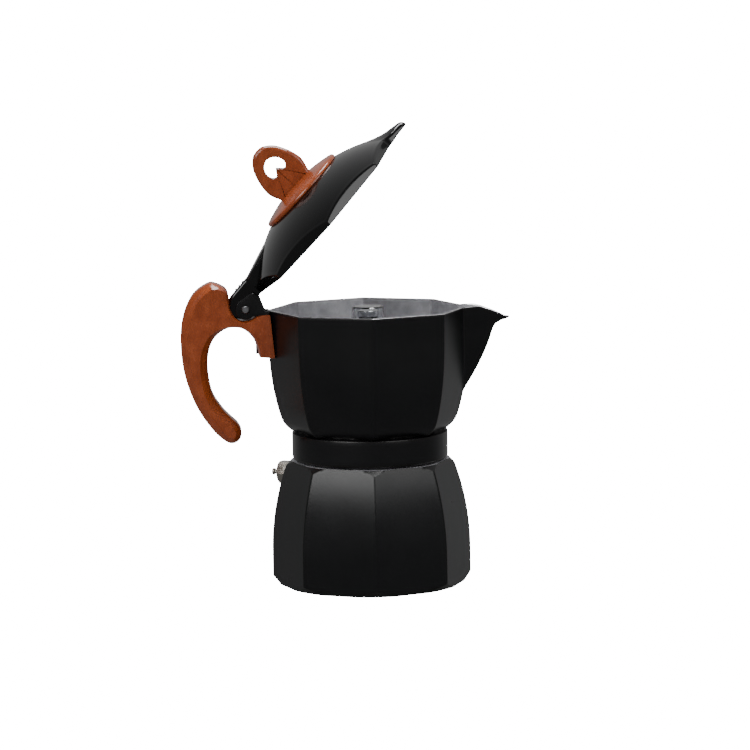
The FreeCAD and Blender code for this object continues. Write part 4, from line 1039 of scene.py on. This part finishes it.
@dataclass
class Knob:
    """The knob: a thin disc that follows the dome and an upright bow with a heart-shaped hole."""

    x: float = 1.5
    disc_r: float = 21.0
    thick: float = 1.6
    height: float = 23.6
    half_w: float = 10.6
    bow_t: float = 7.0
    hole_half: float = 4.8
    hole_h: float = 8.2
    hole_z: float = 9.6

    def build(self, lid: Lid) -> None:
        """Makes the disc and the bow on the lid's dome.

        Args:
            lid: the lid that carries the knob.
        """
        theta = np.linspace(0, TURN, 128, endpoint=False)
        spread = self.disc_r
        rows = [(s * (spread - 0.9), self.thick) for s in np.linspace(0, 1, 16)]
        rows += [(spread - 0.45, self.thick - 0.1), (spread - 0.12, self.thick - 0.4),
                 (spread, self.thick * 0.5), (spread - 0.15, 0.15), (spread - 0.5, 0.03)]
        rows += [(s * (spread - 1), 0.03) for s in (1, 0.6, 0.3, 0)]
        r = np.array([p[0] for p in rows])[:, None]
        grow = np.array([p[1] for p in rows])[:, None]
        px, py = self.x + r * np.cos(theta), r * np.sin(theta)
        z = lid.centre + np.sqrt((lid.ball + grow) ** 2 - px ** 2 - py ** 2)
        shell = Shell()
        shell.grid(Pin.swing(np.stack([px, py, z], 2)))
        disc = piece("knob_disc", shell, "lid", [dress(Look.WOOD_EFFECT)])
        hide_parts("knob")
        self.bow(float(lid.dome(np.array(self.x))))

    def bow(self, seat: float) -> None:
        """Makes the bow. Its section runs from the hole's edge over the face to the outer edge and back.

        Args:
            seat: height of the dome under the bow with the lid closed, in mm.
        """
        side = spline([(0.80, -0.06), (0.86, 0.08), (0.97, 0.22), (1.0, 0.36), (0.90, 0.58), (0.66, 0.82),
                       (0.30, 0.97), (0.0, 1.0)], 14)
        half = np.vstack([[(0.0, -0.06)], side]) * (self.half_w, self.height)
        outline = np.vstack([half, half[-2:0:-1] * (-1, 1)]) + (self.x, seat)
        lobes = spline([(0.0, 0.35), (0.27, 0.17), (0.45, 0.04), (0.64, 0.0), (0.89, 0.13), (1.0, 0.38),
                        (0.85, 0.66), (0.49, 0.89), (0.0, 1.0)], 14) * (self.hole_half, self.hole_h)
        hole = np.vstack([lobes, lobes[-2:0:-1] * (-1, 1)]) + (self.x, seat + self.hole_z)
        middle = (self.x, seat + self.hole_z + self.hole_h * 0.55)
        phi = np.linspace(0, TURN, 240, endpoint=False) - math.pi / 2
        outer, inner = by_angle(outline, middle, phi), by_angle(hole, middle, phi)
        out_n, in_n = outward(outer), outward(inner)
        t = self.bow_t / 2
        rings = [(inner, in_n, 0.0, -t + 0.7), (inner, in_n, 0.1, -t + 0.2), (inner, in_n, 0.35, -t)]
        rings += [(outer, out_n, -1.3, -t), (outer, out_n, -0.6, -t + 0.22), (outer, out_n, -0.15, -t + 0.75),
                  (outer, out_n, 0.0, -t + 1.6)]
        near = [np.column_stack([(o + n * d)[:, 0], np.full(len(phi), y), (o + n * d)[:, 1]])
                for o, n, d, y in rings]
        far = [ring * (1, -1, 1) for ring in near[::-1]]
        shell = Shell()
        shell.grid(np.array(near + far), loop_rows=True)
        piece("knob_bow", Pin.swing_shell(shell), "lid", [dress(Look.WOOD_EFFECT)],
              sharp_deg=16)


# ---------------------------------------------------------------- handle

@dataclass
class Handle:
    """The curved handle: a root on the chamber, a neck under the hinge, and a grip that sweeps down."""

    half_w: float = 7.8

    def outline(self) -> tuple[np.ndarray, np.ndarray]:
        """Side view and bevel width along it.

        Each point is (x from the pin, z from the pin, bevel width). Smooth curves run through them,
        except at the root's corners.

        Returns:
            Points of (x, z), and the bevel width at each, in mm.
        """
        root = [(6.4, -21.3, 0.5), (9.4, -21.3, 0.1), (12.4, -21.3, 0.0), (10.6, -2.3, 0.0), (8.2, -2.3, 0.1)]
        under_ear = [(6.6, -2.4, 0.3), (4.6, -3.0, 0.5), (2.0, -4.6, 0.5), (-1.5, -5.0, 0.5),
                     (-4.6, -3.4, 0.5), (-6.3, -0.8, 0.6)]
        back = [(-6.8, 1.6, 0.7), (-7.2, 5.0, 0.9), (-7.7, 7.6, 1.0), (-8.8, 9.4, 1.1)]
        outer = [(-11.4, 10.9, 1.8), (-16.0, 11.6, 3.0), (-23.0, 6.6, 3.6), (-27.4, -3.0, 3.6),
                 (-28.6, -14.0, 3.6), (-27.2, -28.0, 3.6), (-22.6, -41.6, 3.4), (-15.9, -52.2, 3.0),
                 (-10.0, -57.9, 2.8), (-6.2, -58.9, 2.6), (-3.4, -56.8, 2.4), (-2.9, -53.4, 2.4),
                 (-4.5, -50.2, 2.6)]
        inner = [(-7.4, -47.4, 3.0), (-11.4, -43.0, 3.2), (-15.6, -35.4, 3.2), (-17.0, -23.0, 3.2),
                 (-14.6, -13.5, 2.4), (-8.6, -8.4, 1.0), (-2.1, -8.3, 0.8), (2.6, -12.0, 0.9),
                 (4.7, -17.0, 0.9), (5.3, -20.0, 0.8), (5.7, -21.0, 0.6)]
        parts = [np.array(root), spline(under_ear + back, 8), spline(outer + inner, 12)]
        line = even(np.vstack(parts), 460)
        return line[:, :2] + (Pin.X, Pin.Z), line[:, 2]

    def build(self) -> None:
        """Makes the handle, trimmed to the chamber's back corner and to the arm's swing."""
        outline, bevel = self.outline()
        w = self.half_w
        shares = [(-w, 1.0), (-w + 0.25, 0.93), (-w + 1.0, 0.62), (-w + 2.0, 0.30), (-w + 3.2, 0.08),
                  (-4.15, 0.0), (-4.1, 0.0), (-2.0, 0.0), (0.0, 0.0)]
        rows = shares + [(-y, s) for y, s in shares[-2::-1]]
        shell = plate(outline, rows, bevel)
        points = shell.points[0]
        corner = np.interp(points[:, 2], [100.0, 104.0, 121.0], [43.8, 43.95, 44.4])
        wall = -corner + np.abs(points[:, 1]) * math.tan(HALF_EIGHTH) + 0.5
        points[:, 0] = np.minimum(points[:, 0], wall)
        slot = (np.abs(points[:, 1]) < 4.12) & (points[:, 0] > -63.0) & (points[:, 0] < -59.0)
        slot &= points[:, 2] > Pin.Z + 0.6
        points[:, 0] = np.where(slot, -62.9, points[:, 0])
        for cap in (1, 2):
            ring = shell.points[cap]
            ring[:, 0] = np.minimum(ring[:, 0], -44.2 + np.abs(ring[:, 1]) * math.tan(HALF_EIGHTH) + 0.5)
        made = piece("handle_grip", shell, "chamber", [dress(Look.WOOD_EFFECT)],
                     sharp_deg=38)
        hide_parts("handle")


# ---------------------------------------------------------------- pieces that keep their CAD shape

CAD_LOOKS: dict[str, Look] = {
    "valve_body": Look.NICKEL,
    "valve_washer": Look.FIBRE,
    "valve_pin": Look.NICKEL,
    "valve_plug": Look.STEEL,
    "valve_spring": Look.STEEL,
    "funnel": Look.SHEET,
    "funnel_sieve": Look.SHEET,
    "gasket": Look.IVORY,
    "filter_plate": Look.SHEET,
    "column_nozzle": Look.BLACK_RUBBER,
    "weight_seal": Look.BLACK_RUBBER,
    "outlet_weight": Look.CHROME,
    "clear_cap": Look.CLEAR,
    "hinge_pin": Look.STEEL,
    "knob_screw": Look.STEEL,
    "knob_washer": Look.STEEL,
    "handle_screw": Look.DARK_STEEL,
}


def dress_cad_nodes() -> None:
    """Gives each CAD piece that stays in view its finish."""
    for name, look in CAD_LOOKS.items():
        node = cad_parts[name]
        node.data.materials.clear()
        node.data.materials.append(dress(look))
        LOG.info("%s: %s", name, look.value.name)


# ---------------------------------------------------------------- studio

@dataclass
class Studio:
    """A pale floor, soft light from broad panels, a white surround, and the camera."""

    azimuth: float = -2.754
    elevation: float = 7.578
    roll: float = 0.938
    distance: float = 1360.0
    target: tuple[float, float, float] = (2.696, 0.0, 91.212)
    lens: float = 148.5
    floor_value: float = 0.4
    floor_glow: float = 20.0
    bright_way: tuple[float, float, float] = (0.15, 0.85, 0.5)
    aim: tuple[float, float, float] = (0.0, 0.0, 0.09)
    front_light: float = 0.14
    back_light: float = 0.42
    white: float = 20.0

    def build(self) -> None:
        """Sets up everything that isn't part of the pot."""
        self.camera()
        self.floor()
        self.lights()
        self.surround()

    def camera(self) -> None:
        """Places the camera at its azimuth, elevation, roll and distance from the target."""
        a, e = math.radians(self.azimuth), math.radians(self.elevation)
        back = Vector((math.sin(a) * math.cos(e), -math.cos(a) * math.cos(e), math.sin(e)))
        data = bpy.data.cameras.new("camera")
        data.lens = self.lens
        data.sensor_width = 36.0
        made = bpy.data.objects.new("camera", data)
        made.rotation_mode = "QUATERNION"
        made.location = (Vector(self.target) + back * self.distance) * MM
        made.rotation_quaternion = (-back).to_track_quat("-Z", "Y")
        made.rotation_quaternion.rotate(Quaternion(back, math.radians(-self.roll)))
        data.clip_start, data.clip_end = 0.05, 50.0
        bpy.context.scene.collection.objects.link(made)
        bpy.context.scene.camera = made

    def floor(self) -> None:
        """Makes the floor: a wide disc of paper, white to the eye, that the coat doesn't mirror."""
        theta = np.linspace(0, TURN, 64, endpoint=False)[None, :]
        rings = np.array([0.0, 200.0, 800.0, 3000.0, 9000.0])[:, None]
        shell = Shell()
        shell.grid(revolve(rings * np.ones_like(theta), np.full((5, 64), -0.02), theta))
        mesh = bpy.data.meshes.new("floor")
        mesh.from_pydata((np.vstack(shell.points) * MM).tolist(), [], shell.faces)
        made = bpy.data.objects.new("floor", mesh)
        paper = bpy.data.materials.new("white_paper")
        paper.use_nodes = True
        tree = paper.node_tree
        tree.nodes.clear()
        matt = add(tree, "ShaderNodeBsdfDiffuse", {"Color": grey(self.floor_value)})
        glow = add(tree, "ShaderNodeEmission", {"Color": grey(1.0), "Strength": self.floor_glow})
        both = add(tree, "ShaderNodeAddShader", {0: matt.outputs[0], 1: glow.outputs[0]})
        path = add(tree, "ShaderNodeLightPath")
        seen = add(tree, "ShaderNodeMixShader", {0: path.outputs["Is Camera Ray"], 1: matt.outputs[0],
                                                 2: both.outputs[0]})
        add(tree, "ShaderNodeOutputMaterial", {"Surface": seen.outputs[0]})
        mesh.materials.append(paper)
        made.visible_glossy = False
        bpy.context.scene.collection.objects.link(made)

    def lights(self) -> None:
        """Hangs the soft panels, given by name, place and size in metres, and watts."""
        panels = [("front_left_panel", (-0.88, -0.97, 0.84), (0.9, 0.6), 9.5),
                  ("front_right_panel", (0.86, -1.06, 0.80), (0.9, 0.6), 4.2),
                  ("top_panel", (0.15, 0.1, 1.7), (0.9, 0.9), 34.0)]
        for name, place, (width, height), power in panels:
            data = bpy.data.lights.new(name, "AREA")
            data.shape = "RECTANGLE"
            data.energy, data.size, data.size_y = power, width, height
            made = bpy.data.objects.new(name, data)
            made.location = place
            made.rotation_mode = "QUATERNION"
            made.rotation_quaternion = (Vector(self.aim) - Vector(place)).to_track_quat("-Z", "Y")
            bpy.context.scene.collection.objects.link(made)

    def surround(self) -> None:
        """Sets the surround: white to the eye, but lighting the pot mostly from behind and above."""
        world = bpy.data.worlds.new("surround")
        world.use_nodes = True
        tree = world.node_tree
        tree.nodes.clear()
        way = add(tree, "ShaderNodeTexCoord").outputs["Generated"]
        toward = add(tree, "ShaderNodeVectorMath", {0: way, 1: self.bright_way}, operation="DOT_PRODUCT")
        depth = add(tree, "ShaderNodeMapRange", {"Value": toward.outputs["Value"], "From Min": 0.3,
                                                 "From Max": 1.0, "To Min": self.front_light,
                                                 "To Max": self.back_light})
        path = add(tree, "ShaderNodeLightPath")
        soft = add(tree, "ShaderNodeBackground", {"Color": grey(1.0), "Strength": depth.outputs["Result"]})
        white = add(tree, "ShaderNodeBackground", {"Color": grey(1.0), "Strength": self.white})
        both = add(tree, "ShaderNodeMixShader", {0: path.outputs["Is Camera Ray"], 1: soft.outputs[0],
                                                 2: white.outputs[0]})
        add(tree, "ShaderNodeOutputWorld", {"Surface": both.outputs[0]})
        bpy.context.scene.world = world


def main() -> None:
    """Builds the studio, then each sub-assembly in order."""
    logging.basicConfig(level=logging.INFO, format="%(name)s %(message)s")
    Studio().build()
    Boiler().build()
    Chamber().build()
    lid = Lid()
    lid.build()
    Knob().build(lid)
    Handle().build()
    dress_cad_nodes()


if __name__ == "__main__":
    main()
